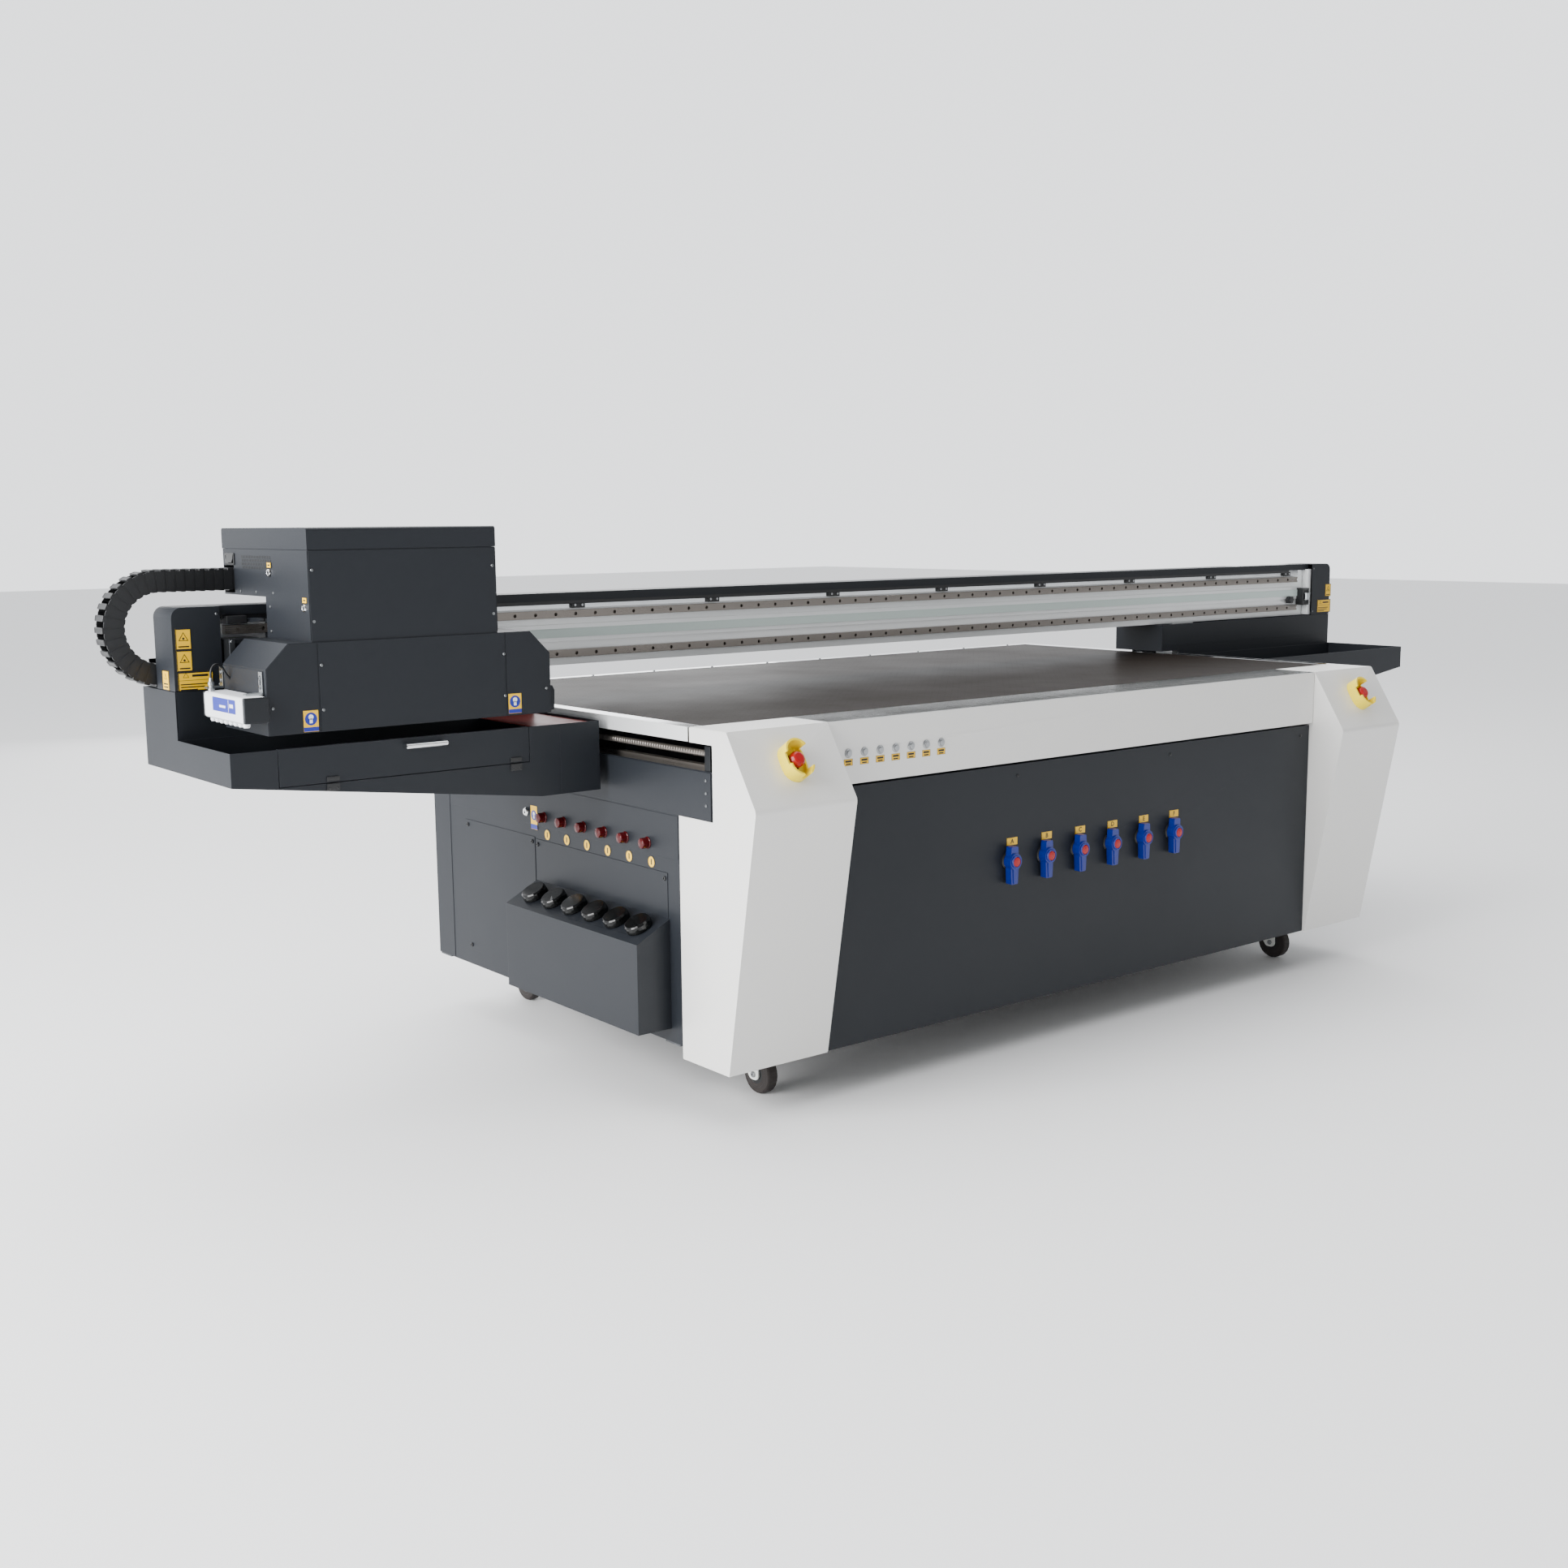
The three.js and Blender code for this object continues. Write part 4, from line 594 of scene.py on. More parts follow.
        # Polyurethane timing belt, pale green grey.
        surface("belt polyurethane", "d3e2dd", 0.45, 0.0, None, grain=2.0, stretch=(6, 1, 1), tint=0.04,
                relief=0.02)
        # Translucent red sheet in the tray.
        surface("red acrylic sheet", "6b2f2d", 0.38, 0.0, "red_plastic", grain=30.0, tint=0.06, relief=0.0,
                shader={"Specular IOR Level": 0.3})
        # Silicone and foam of the capping station.
        surface("white silicone", "cfd0cb", 0.55, 0.0, None, grain=1.0, tint=0.05, relief=0.02)
        dressed = {
            "dark_paint": "powder coat", "light_paint": "silver enamel", "steel_tube": "frame enamel",
            "bed_plate": "anodised bed plate", "beam_metal": "extruded aluminium",
            "rail_steel": "ground rail steel", "black_plastic": "black nylon",
            "blue_plastic": "blue moulded handle", "red_plastic": "red moulded button",
            "button_metal": "stainless steel", "fork_zinc": "pale caster enamel",
            "wheel_rubber": "wheel rubber", "lamp_metal": "black anodised aluminium",
            "head_plate": "milled aluminium",
        }
        for entry in frame["record"]["subparts"]:
            finish = dressed[entry["material_slot"]]
            if entry["node"].startswith("ink_cap"):
                finish = "gloss black plastic"
            piece = NODES[entry["node"]]
            piece.data.materials.clear()
            piece.data.materials.append(FINISH[finish][0])
            round_edges(piece)
        return {"FINISHED"}


# ---------- cabinet ----------

class PRINTER_OT_end_panels(bpy.types.Operator):
    """Add the folded skins, access panels and fasteners of both ends"""
    bl_idname = "printer.end_panels"
    bl_label = "End panels"

    def execute(self, context):
        skins = {
            "upper_skin": (50, 1166, 602, 707, 1.2),
            "rear_skin": (1170, 1260, 158, 707, 1.2),
            "front_hatch": (96, 698, 190, 566, 1.5),
            "rear_hatch": (704, 1077, 198, 570, 1.5),
            "rail_cover": (-84, 1648, 712, 823, 3.0),
        }
        for side, face, out in (("left", 0, -1), ("right", LENGTH, 1)):
            for name, (y0, y1, z0, z1, proud) in skins.items():
                done(block(f"{side}_{name}", (min(face, face + out * proud), y0, z0),
                           (max(face, face + out * proud), y1, z1), edge=0.7), "base", "powder coat")
            hatch = face + out * 1.5
            places = [(hatch, y, z) for y, z in ((106, 552), (688, 552), (716, 556), (1066, 556), (716, 212),
                                                 (1066, 212), (106, 206), (688, 206))]
            screws(f"{side}_hatch_locks", places, (out, 0, 0), "base", 6.0, "black nylon")
            cover = face + out * 3.0
            places = [(cover, y, z) for y in (-67, 560, 1180, 1636) for z in (804, 775, 746)]
            screws(f"{side}_rail_cover_screws", places, (out, 0, 0), "base", 3.6)
        return {"FINISHED"}


class PRINTER_OT_ink_controls(bpy.types.Operator):
    """Add the pilot lamps, colour tags, key lock and sign above the ink box"""
    bl_idname = "printer.ink_controls"
    bl_label = "Ink controls"

    def execute(self, context):
        radius = context.scene.printer_sizes.lamp_radius / MM
        lens = turned("pilot_lamp", [(0, 0), (radius + 1.5, 0), (radius + 1.5, 2), (radius, 3.4),
                                     (radius, 17), (radius * 0.9, 20), (radius * 0.55, 22), (0, 22.4)],
                      (-1.2, 653, 628), LEFT)
        steps = [(0, -95.4 * i, 0) for i in range(1, 6)]
        for copy in copies(lens, "pilot_lamp", steps):
            done(copy, "base", "red lens")
        for i in range(6):
            centre = (0, 641 - 95.6 * i, 583)
            tag = bar(f"colour_tag_{i + 1}", centre, LEFT, 14, 0.5, edge=0)
            rim = turned(f"colour_tag_rim_{i + 1}", [(13, 0.2), (14.6, 0.2), (14.6, 0.8), (13, 0.8),
                                                     (13, 0.2)], centre, LEFT)
            drop = block(f"colour_tag_mark_{i + 1}", (-0.8, centre[1] - 2.2, 576),
                         (-0.1, centre[1] + 2.2, 590), edge=0.3)
            paint(tag, "yellow vinyl")
            paint(rim, "black print")
            paint(drop, "black print")
            done(joined(f"colour_tag_{i + 1}", [tag, rim, drop], "yellow vinyl"), "base")
        lock = turned("key_lock", [(0, 6), (4, 6), (4, 8), (9, 8), (11.5, 5), (11.5, 0), (0, 0)],
                      (-1.2, 739, 633), LEFT)
        carve(lock, block("keyway", (-12, 738, 628), (-5, 740, 638), edge=0))
        done(lock, "base", "chrome plate")
        sign("glove_sign", (-1.3, 704, 621), FRONT, 32, 62, "base")
        return {"FINISHED"}


def sign(name, centre, right, width, height, body):
    """A plain round blue sign on a yellow label with a white foot."""
    foot = height * 0.2
    marks = [("disc", 0, foot / 2, width * 0.41, None, "blue vinyl"),
             ("disc", 0, foot / 2 + width * 0.12, width * 0.17, None, "white vinyl"),
             ("line", 0, foot / 2 - width * 0.12, width * 0.2, width * 0.3, "white vinyl"),
             ("line", 0, (foot - height) / 2 + 0.6, width, foot, "blue vinyl")]
    film = block(name, (-width / 2, -height / 2, 0), (width / 2, height / 2, 0.4), edge=0)
    paint(film, "yellow vinyl")
    drawn = [film]
    for number, (kind, x, y, size, tall, finish) in enumerate(marks):
        lift = 0.2 * (number in (1, 2))
        if kind == "disc":
            shape = bar(f"{name}_{number}", (x, y, 0.4 + lift), UP, size, 0.2, edge=0)
        else:
            shape = block(f"{name}_{number}", (x - size / 2, y - tall / 2, 0.4 + lift),
                          (x + size / 2, y + tall / 2, 0.6 + lift), edge=0)
        drawn.append(paint(shape, finish))
    return done(set_down(joined(name, drawn, "yellow vinyl"), facing_place(centre, right, UP)), body)


class PRINTER_OT_ball_screws(bpy.types.Operator):
    """Add the ball screws in both side slots, with their bearings and nuts"""
    bl_idname = "printer.ball_screws"
    bl_label = "Ball screws"

    def execute(self, context):
        lead = context.scene.printer_sizes.screw_lead / MM
        front, back = span("y_rail_left")[0].y, span("y_rail_left")[1].y
        for side, x in (("left", SCREW_X), ("right", LENGTH - SCREW_X)):
            turn = turned(f"{side}_ball_screw", [(8, 0), (8, lead * 0.5), (6.8, lead * 0.65),
                                                 (6.8, lead * 0.85), (8, lead)], (x, front + 20, SCREW_Z),
                          BACK, steps=12)
            count = int((back - front - 40) / lead)
            done(repeat(turn, count, (0, lead, 0)), "base", "ground rail steel")
            for end, y in (("front", front), ("back", back - 22)):
                done(block(f"{side}_screw_bearing_{end}", (x - 20, y, 812.5), (x + 17, y + 22, 882),
                           edge=1.5), "base", "black anodised aluminium")
            done(turned(f"{side}_ball_nut", [(8.6, 0), (17, 0), (17, 8), (13, 9), (13, 24), (8.6, 24),
                                             (8.6, 0)], (x, 643.5, SCREW_Z), BACK), "gantry",
                 "ground rail steel")
        return {"FINISHED"}


# ---------- controls ----------

SLOPE_UP = Vector((0, 106, 168)).normalized()
SLOPE_OUT = Vector(RIGHT).cross(SLOPE_UP)
# An emergency stop's middle from the end of the bed, and its distance down the slope.
STOP_X = 147.5
STOP_DOWN = 92


class PRINTER_OT_stop_guards(bpy.types.Operator):
    """Add the yellow guards round both emergency stops"""
    bl_idname = "printer.stop_guards"
    bl_label = "Stop guards"

    def execute(self, context):
        for side, x in (("left", STOP_X), ("right", LENGTH - STOP_X)):
            foot = Vector((x, APRON_Y, BED_TOP)) - SLOPE_UP * STOP_DOWN
            guard = prism(f"{side}_stop_guard", stadium(33, 47, 0), (0, 0, 38))
            carve(
                guard,
                prism("cup", stadium(28, 42, 3.5), (0, 0, 60)),
                prism("right_gap", [(6, 27, 60), (60, 32, 60), (60, -27, 60), (10, -22, 60)], (0, 0, -48)),
                prism("low_gap", [(-10, -30, 60), (16, -34, 60), (10, -70, 60), (2, -70, 60)], (0, 0, -40)),
                prism("left_step", [(-60, 12, 60), (-10, 20, 60), (-10, -14, 60), (-60, -12, 60)],
                      (0, 0, -31)),
            )
            soften(guard, 1.4, 3)
            set_down(guard, facing_place(foot, RIGHT, SLOPE_UP))
            done(guard, "base", "yellow guard plastic")
            done(turned(f"{side}_stop_collar", [(11.6, 3.4), (19, 3.4), (19, 6), (16, 8.5), (11.6, 8.5),
                                                (11.6, 3.4)], foot, SLOPE_OUT), "base",
                 "gloss black plastic")
        return {"FINISHED"}


class PRINTER_OT_control_row(bpy.types.Operator):
    """Add the bezels and labels of the push buttons and the bolts of the front panel"""
    bl_idname = "printer.control_row"
    bl_label = "Control row"

    def execute(self, context):
        for i in range(7):
            low, high = span(f"push_button_{i + 1}")
            centre = (low + high) / 2
            place = (centre.x, APRON_Y, centre.z)
            done(turned(f"button_bezel_{i + 1}", [(7.4, 0), (11, 0), (11, 1.6), (9.4, 3.4), (7.4, 3.4),
                                                  (7.4, 0)], place, FRONT), "base", "stainless steel")
            sticker(f"button_label_{i + 1}", (centre.x, APRON_Y - 0.05, centre.z - 22), RIGHT, UP, 27, 16,
                    [("line", 0, 2.4, 19, 4.6), ("line", 0, -4.2, 15, 3.2)], "base")
        screws("front_panel_bolts", [(x, PANEL_Y, 730) for x in (340, 944, 1554, 2160)], FRONT, "base", 4.5,
               "black nylon")
        return {"FINISHED"}


class PRINTER_OT_valves(bpy.types.Operator):
    """Add the caps and lettered tags of the vacuum valves"""
    bl_idname = "printer.valves"
    bl_label = "Vacuum valves"

    def execute(self, context):
        width = context.scene.printer_sizes.valve_tag / MM
        for letter in VALVES:
            low, high = span(f"vacuum_valve_{letter}")
            x = (low.x + high.x) / 2
            front = low.y
            z = low.z + 60
            done(turned(f"valve_rim_{letter}", [(12.5, -0.5), (16.4, -0.5), (16.8, 2), (15.6, 4), (13.4, 4),
                                                (12.5, -0.5)], (x, front, z), FRONT), f"valve_{letter}",
                 "blue moulded handle")
            done(turned(f"valve_cap_{letter}", [(0, -0.5), (12.6, -0.5), (12.6, 2.8), (11.4, 4.0), (5, 4.8),
                                                (0, 5.0)], (x, front, z), FRONT), f"valve_{letter}",
                 "red moulded button")
            done(turned(f"valve_rose_{letter}", [(10, 0), (23, 0), (23, 2), (20, 4.5), (10, 4.5), (10, 0)],
                        (x, PANEL_Y, z), FRONT), "base", "black nylon")
            spine = prism(f"valve_spine_{letter}", [(-5, -58, 0), (5, -58, 0), (7, -18, 0), (-7, -18, 0)],
                          (0, 0, 2.6), edge=1.2)
            done(set_down(spine, facing_place((x, front + 5, z), RIGHT, UP)), f"valve_{letter}",
                 "blue moulded handle")
            sticker(f"valve_tag_{letter}", (x + 15, PANEL_Y - 0.1, z + 48), RIGHT, UP, width, 21,
                    [], "base")
            bpy.ops.object.select_all(action="DESELECT")
            bpy.ops.object.text_add(location=CORNER)
            word = bpy.context.object
            word.data.body = letter.upper()
            word.data.size = 17 * MM
            word.data.align_x = "CENTER"
            word.data.align_y = "CENTER"
            word.data.extrude = 0.2 * MM
            word.data.offset = 0.35 * MM
            word.data.resolution_u = 3
            bpy.ops.object.convert(target="MESH")
            word = settle(named(f"valve_letter_{letter}"))
            done(set_down(word, facing_place((x + 15, PANEL_Y - 0.6, z + 48), RIGHT, UP)), "base",
                 "black print")
        return {"FINISHED"}


# ---------- bed ----------

class PRINTER_OT_bed_edges(bpy.types.Operator):
    """Add the polished edge strips of the bed and the ruler along its front"""
    bl_idname = "printer.bed_edges"
    bl_label = "Bed edges"

    def execute(self, context):
        strips = {
            "bed_side_left": ((-1.4, 4, BED_LOW.z + 1), (0, DEPTH - 4, BED_TOP + 0.8)),
            "bed_side_right": ((LENGTH, 4, BED_LOW.z + 1), (LENGTH + 1.4, DEPTH - 4, BED_TOP + 0.8)),
            "bed_edge_left": ((0.2, 2, BED_TOP), (40, DEPTH - 2, BED_TOP + 0.8)),
            "bed_edge_right": ((LENGTH - 40, 2, BED_TOP), (LENGTH - 0.2, DEPTH - 2, BED_TOP + 0.8)),
            "bed_edge_back": ((41, DEPTH - 34, BED_TOP), (LENGTH - 41, DEPTH - 1, BED_TOP + 0.8)),
            "bed_edge_front": ((297, APRON_Y + 1, BED_TOP), (LENGTH - 297, -1, BED_TOP + 1.2)),
            "leg_top_left": ((2, APRON_Y + 1, BED_TOP), (293, -1, BED_TOP + 1.0)),
            "leg_top_right": ((LENGTH - 293, APRON_Y + 1, BED_TOP), (LENGTH - 2, -1, BED_TOP + 1.0)),
        }
        for name, (low, high) in strips.items():
            finish = "polished stainless"
            if name.startswith("leg_top"):
                finish = "silver enamel"
            elif name.startswith("bed_side"):
                finish = "extruded aluminium"
            done(block(name, low, high, edge=0.3, steps=1), "base", finish)
        count = context.scene.printer_sizes.ruler_ticks
        pitch = (LENGTH - 640) / (count - 1)
        tick = block("ruler_marks", (318.5, -138, BED_TOP + 1.2), (321.5, -86, BED_TOP + 1.4), edge=0.1,
                     steps=1)
        done(repeat(tick, count, (pitch, 0, 0)), "base", "black print")
        screws("bed_edge_screws", [(x, DEPTH - 20, BED_TOP + 0.8) for x in range(120, int(LENGTH), 226)],
               UP, "base", 4.0)
        return {"FINISHED"}


# ---------- gantry ----------

def linear_rail(name, length, pitch):
    """A ground rail with its ball grooves and screw holes, along X from the machine's origin, facing +Z."""
    rail = block(name, (0, -10, 0), (pitch, 10, 17.2), edge=0)
    with editing(rail, "EDGE", lambda edge: abs(edge.verts[0].co.x - edge.verts[1].co.x) > 0.5 * pitch * MM
                 and edge.verts[0].co.z > at(0, 0, 10).z):
        bpy.ops.mesh.bevel(offset=1.0 * MM, segments=2, affect="EDGES")
    hole = bar("bore", (pitch / 2, 0, 8), UP, 4.6, 20, sides=16, edge=0)
    grooves = [prism("groove", [(-10, side * 12, 9.6), (-10, side * 7.8, 9.6 - 1.6),
                                (-10, side * 7.8, 9.6 + 1.6)], (pitch + 20, 0, 0)) for side in (-1, 1)]
    carve(rail, hole, *grooves)
    repeat(rail, math.ceil(length / pitch), (pitch, 0, 0))
    with editing(rail):
        bpy.ops.mesh.remove_doubles(threshold=2e-5)
        bpy.ops.mesh.bisect(plane_co=at(length, 0, 0), plane_no=RIGHT, clear_outer=True, use_fill=True)
    return rail


class PRINTER_OT_rails(bpy.types.Operator):
    """Replace the plain rails by ground rails with grooves and screw holes"""
    bl_idname = "printer.rails"
    bl_label = "Linear rails"

    def execute(self, context):
        pitch = context.scene.printer_sizes.hole_pitch / MM
        for name in ("x_rail_upper", "x_rail_lower"):
            low, high = span(name)
            rail = linear_rail(f"{name}_ground", high.x - low.x, pitch)
            place = facing_place((low.x, high.y, (low.z + high.z) / 2), RIGHT, UP)
            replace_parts(done(set_down(rail, place), "gantry", "ground rail steel"), name)
        for name in ("y_rail_left", "y_rail_right"):
            low, high = span(name)
            rail = linear_rail(f"{name}_ground", high.y - low.y, pitch)
            place = facing_place(((low.x + high.x) / 2, low.y, low.z), BACK, LEFT)
            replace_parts(done(set_down(rail, place), "base", "ground rail steel"), name)
        return {"FINISHED"}


class PRINTER_OT_belt_drive(bpy.types.Operator):
    """Add the drive belt, its pulley bracket, the end stop and the motor"""
    bl_idname = "printer.belt_drive"
    bl_label = "Belt drive"

    def execute(self, context):
        face = BEAM_Y
        start = HOUSING_LEFT[1].x + 4
        end = HOUSING_RIGHT[0].x - 46
        done(block("drive_belt", (start, face - 7, 1091), (end, face - 4.5, 1114), edge=0.4), "gantry",
             "belt polyurethane")
        done(block("belt_backing", (start, face - 4.0, 1080), (end - 10, face - 0.2, 1125), edge=0.5),
             "gantry", "extruded aluminium")
        bracket = block("pulley_bracket", (end - 10, face - 34, 1058), (end + 26, face - 0.5, 1120),
                        edge=2.5, steps=3)
        sink(bracket, FRONT, 5, -4)
        done(bracket, "gantry", "black nylon")
        done(turned("belt_pulley", [(0, 0), (13, 0), (13, 2), (10, 3), (10, 22), (13, 23), (13, 25),
                                    (0, 25)], (end + 8, face - 36, 1102), DOWN), "gantry",
             "milled aluminium")
        done(turned("stop_damper", [(0, 0), (9, 0), (9, 16), (7, 18), (5, 18), (5, 34), (3.5, 36), (0, 36)],
                    (end - 76, face - 12, 1078), RIGHT), "gantry", "black nylon")
        done(block("damper_seat", (end - 70, face - 22, 1066), (end - 52, face - 0.3, 1090), edge=2),
             "gantry", "black nylon")
        done(block("beam_end_plate", (end + 27, face - 24, 1021.5),
                   (HOUSING_RIGHT[0].x + 2, face - 1, 1188), edge=1), "gantry", "extruded aluminium")
        motor = block("belt_motor", (HOUSING_LEFT[1].x + 6, face - 62, 1072),
                      (CARRIAGE_LOW.x - 4, face - 3, 1134), edge=3, steps=3)
        with editing(motor, "FACE", facing(FRONT)):
            bpy.ops.mesh.inset(thickness=9 * MM, depth=0)
            bpy.ops.mesh.extrude_region_move(TRANSFORM_OT_translate={"value": (0, -0.006, 0)})
        done(motor, "gantry", "black anodised aluminium")
        done(block("motor_plate", (HOUSING_LEFT[1].x + 2, face - 30, 1024),
                   (CARRIAGE_LOW.x - 2, face - 2.5, 1070), edge=1.2), "gantry", "powder coat")
        done(block("home_sensor", (HOUSING_LEFT[1].x + 14, face - 34, 1166),
                   (HOUSING_LEFT[1].x + 62, face - 2, 1184), edge=2), "gantry", "black nylon")
        screws("motor_screws", [(x, face - 62.2, z) for x in (HOUSING_LEFT[1].x + 12,
                                                              CARRIAGE_LOW.x - 10) for z in (1078, 1128)],
               FRONT, "gantry", 3.5)
        return {"FINISHED"}


class PRINTER_OT_cover_brackets(bpy.types.Operator):
    """Add the brackets that hold the beam's cover, its rubber lip and its bright edge"""
    bl_idname = "printer.cover_brackets"
    bl_label = "Cover brackets"

    def execute(self, context):
        low, high = span("beam_cover")
        first = block("cover_bracket", (104, low.y + 3, 1166), (144, BEAM_Y - 1, 1181), edge=1.2)
        neck = block("bracket_neck", (118, low.y + 3, 1180), (128, BEAM_Y - 3, high.z - 2.5), edge=0.8)
        knobs = [bar("bracket_screw", (x, low.y + 3.5, 1173.5), FRONT, 3.4, 2.5, sides=12) for x in (113,
                                                                                                     135)]
        paint(first, "black nylon")
        paint(neck, "milled aluminium")
        for knob in knobs:
            paint(knob, "stainless steel")
        whole = joined("cover_bracket", [first, neck, *knobs], "black nylon")
        for copy in copies(whole, "cover_bracket", [(436 * i, 0, 0) for i in range(1, 8)]):
            done(copy, "gantry")
        done(block("cover_lip", (low.x + 116, low.y + 2.2, high.z - 30),
                   (high.x - 114, low.y + 8, high.z - 3), edge=1.5), "gantry", "black nylon")
        done(block("beam_top_strip", (HOUSING_LEFT[1].x + 4, BEAM_Y - 2.2, 1166),
                   (HOUSING_RIGHT[0].x - 4, BEAM_Y - 0.3, 1188), edge=0.5), "gantry", "polished stainless")
        done(block("cover_top_strip", (high.x - 420, low.y + 2, high.z),
                   (high.x - 114, low.y + 60, high.z + 0.8), edge=0.3, steps=1), "gantry",
             "polished stainless")
        return {"FINISHED"}


# A chain link's width and thickness.
CHAIN_WIDTH = 54
CHAIN_THICK = 52


def chain_link(name, pitch):
    """One link of the cable chain about the machine's origin: it runs along X, and its lid faces +Z."""
    width, height = CHAIN_WIDTH, CHAIN_THICK
    half = pitch / 2
    parts = []
    for wall, inward in ((0, 1), (width, -1)):
        for x0, x1, deep in ((-half - 4, 3, 0), (-3, half + 4, 1)):
            y = sorted((wall + inward * deep, wall + inward * 3.5))
            parts.append(block("side_plate", (x0, y[0], -height / 2 + 2), (x1, y[1], height / 2 - 5), edge=0))
    lid = block("link_lid", (-pitch * 0.31, 0.5, height / 2 - 6), (pitch * 0.31, width - 0.5, height / 2),
                edge=1.2, steps=1)
    sink(lid, UP, 2.2, -0.9)
    foot = block("link_foot", (-pitch * 0.26, 0.5, -height / 2),
                 (pitch * 0.26, width - 0.5, -height / 2 + 4), edge=1.0, steps=1)
    link = joined(name, [*parts, lid, foot])
    return paint(link, "black nylon")


class PRINTER_OT_cable_chain(bpy.types.Operator):
    """Replace the plain cable chain by links"""
    bl_idname = "printer.cable_chain"
    bl_label = "Cable chain"

    def execute(self, context):
        pitch = context.scene.printer_sizes.link_pitch / MM
        low, high = span("cable_chain_loop")
        x, z, y = high.x, (low.z + high.z) / 2, low.y
        radius = (high.z - low.z) / 2 - CHAIN_THICK / 2
        links = []
        count = round(math.pi * radius / pitch)
        for i in range(count):
            turn = math.pi * (i + 0.5) / count
            link = chain_link(f"loop_link_{i}", pitch)
            spot = Matrix.Translation(at(x, y, z)) @ Matrix.Rotation(-turn, 4,
                                                                     "Y") @ Matrix.Translation((0, 0,
                                                                                                radius * MM))
            links.append(set_down(link, spot))
        loop = joined("chain_loop_links", links, "black nylon")
        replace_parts(done(loop, "chain_loop"), "cable_chain_loop")
        upper_high = span("cable_chain_upper")[1]
        link = set_down(chain_link("chain_upper_links", pitch),
                        Matrix.Translation(at(x + pitch / 2, y, z + radius)))
        run = repeat(link, int((upper_high.x - x) / pitch), (pitch, 0, 0))
        upper = done(run, None)
        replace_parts(upper, "cable_chain_upper")
        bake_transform(upper)
        lower_high = span("cable_chain_lower")[1]
        flip = Matrix.Rotation(math.pi, 4, "Y")
        link = set_down(chain_link("chain_lower_links", pitch),
                        Matrix.Translation(at(x + pitch / 2, y, z - radius)) @ flip)
        run = repeat(link, int((lower_high.x - x) / pitch), (pitch, 0, 0))
        lower = done(run, None)
        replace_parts(lower, "cable_chain_lower")
        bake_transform(lower)
        return {"FINISHED"}


class PRINTER_OT_housing_labels(bpy.types.Operator):
    """Add the plain yellow labels on the gantry's end housings"""
    bl_idname = "printer.housing_labels"
    bl_label = "Housing labels"

    def execute(self, context):
        front = HOUSING_LEFT[0].y - 0.05
        tri = [("triangle", 0, 3, 13), ("disc", 0, 1.5, 2.6), ("line", 0, -16.5, 24, 3)]
        for number, z in enumerate((1136.5, 1088), start=1):
            sticker(f"hazard_label_{number}", (-921, front, z), RIGHT, UP, 35, 46, tri, "gantry")
        wide = [("triangle", -22, 13, 8), ("line", 10, 13, 36, 5), ("line", 0, 3, 78, 0.8),
                ("line", -4, -6, 62, 2.4), ("line", -8, -12, 54, 2.4), ("line", -16, -18, 38, 2.4)]
        sticker("notice_label_left", (-898, front, 1041.5), RIGHT, UP, 80, 42, wide, "gantry")
        sticker("side_label_left", (HOUSING_LEFT[0].x - 0.05, 692, 1043), FRONT, UP, 40, 45,
                [("triangle", 0, 7, 9), ("line", 0, -8, 26, 3), ("line", 0, -15, 26, 3)], "gantry")
        right = HOUSING_RIGHT[0]
        sticker("hazard_label_right", (3403, front, 1108), RIGHT, UP, 34, 46, tri, "gantry")
        sticker("notice_label_right", (3379, front, 1050), RIGHT, UP, 82, 48, wide, "gantry")
        screws("housing_screws", [(HOUSING_LEFT[1].x - 8, front, 1190),
                                  (HOUSING_LEFT[1].x - 8, front, 1032), (right.x + 8, front, 1190),
                                  (right.x + 8, front, 1032)], FRONT, "gantry", 3.2)
        return {"FINISHED"}


# ---------- trays ----------

def head_places(low, high):
    """The middles of the six print heads, in two lines of three between a plate's corners."""
    return [(low.x + (column + 0.5) * (high.x - low.x) / 3, low.y + (line + 0.5) * (high.y - low.y) / 2)
            for line in range(2) for column in range(3)]


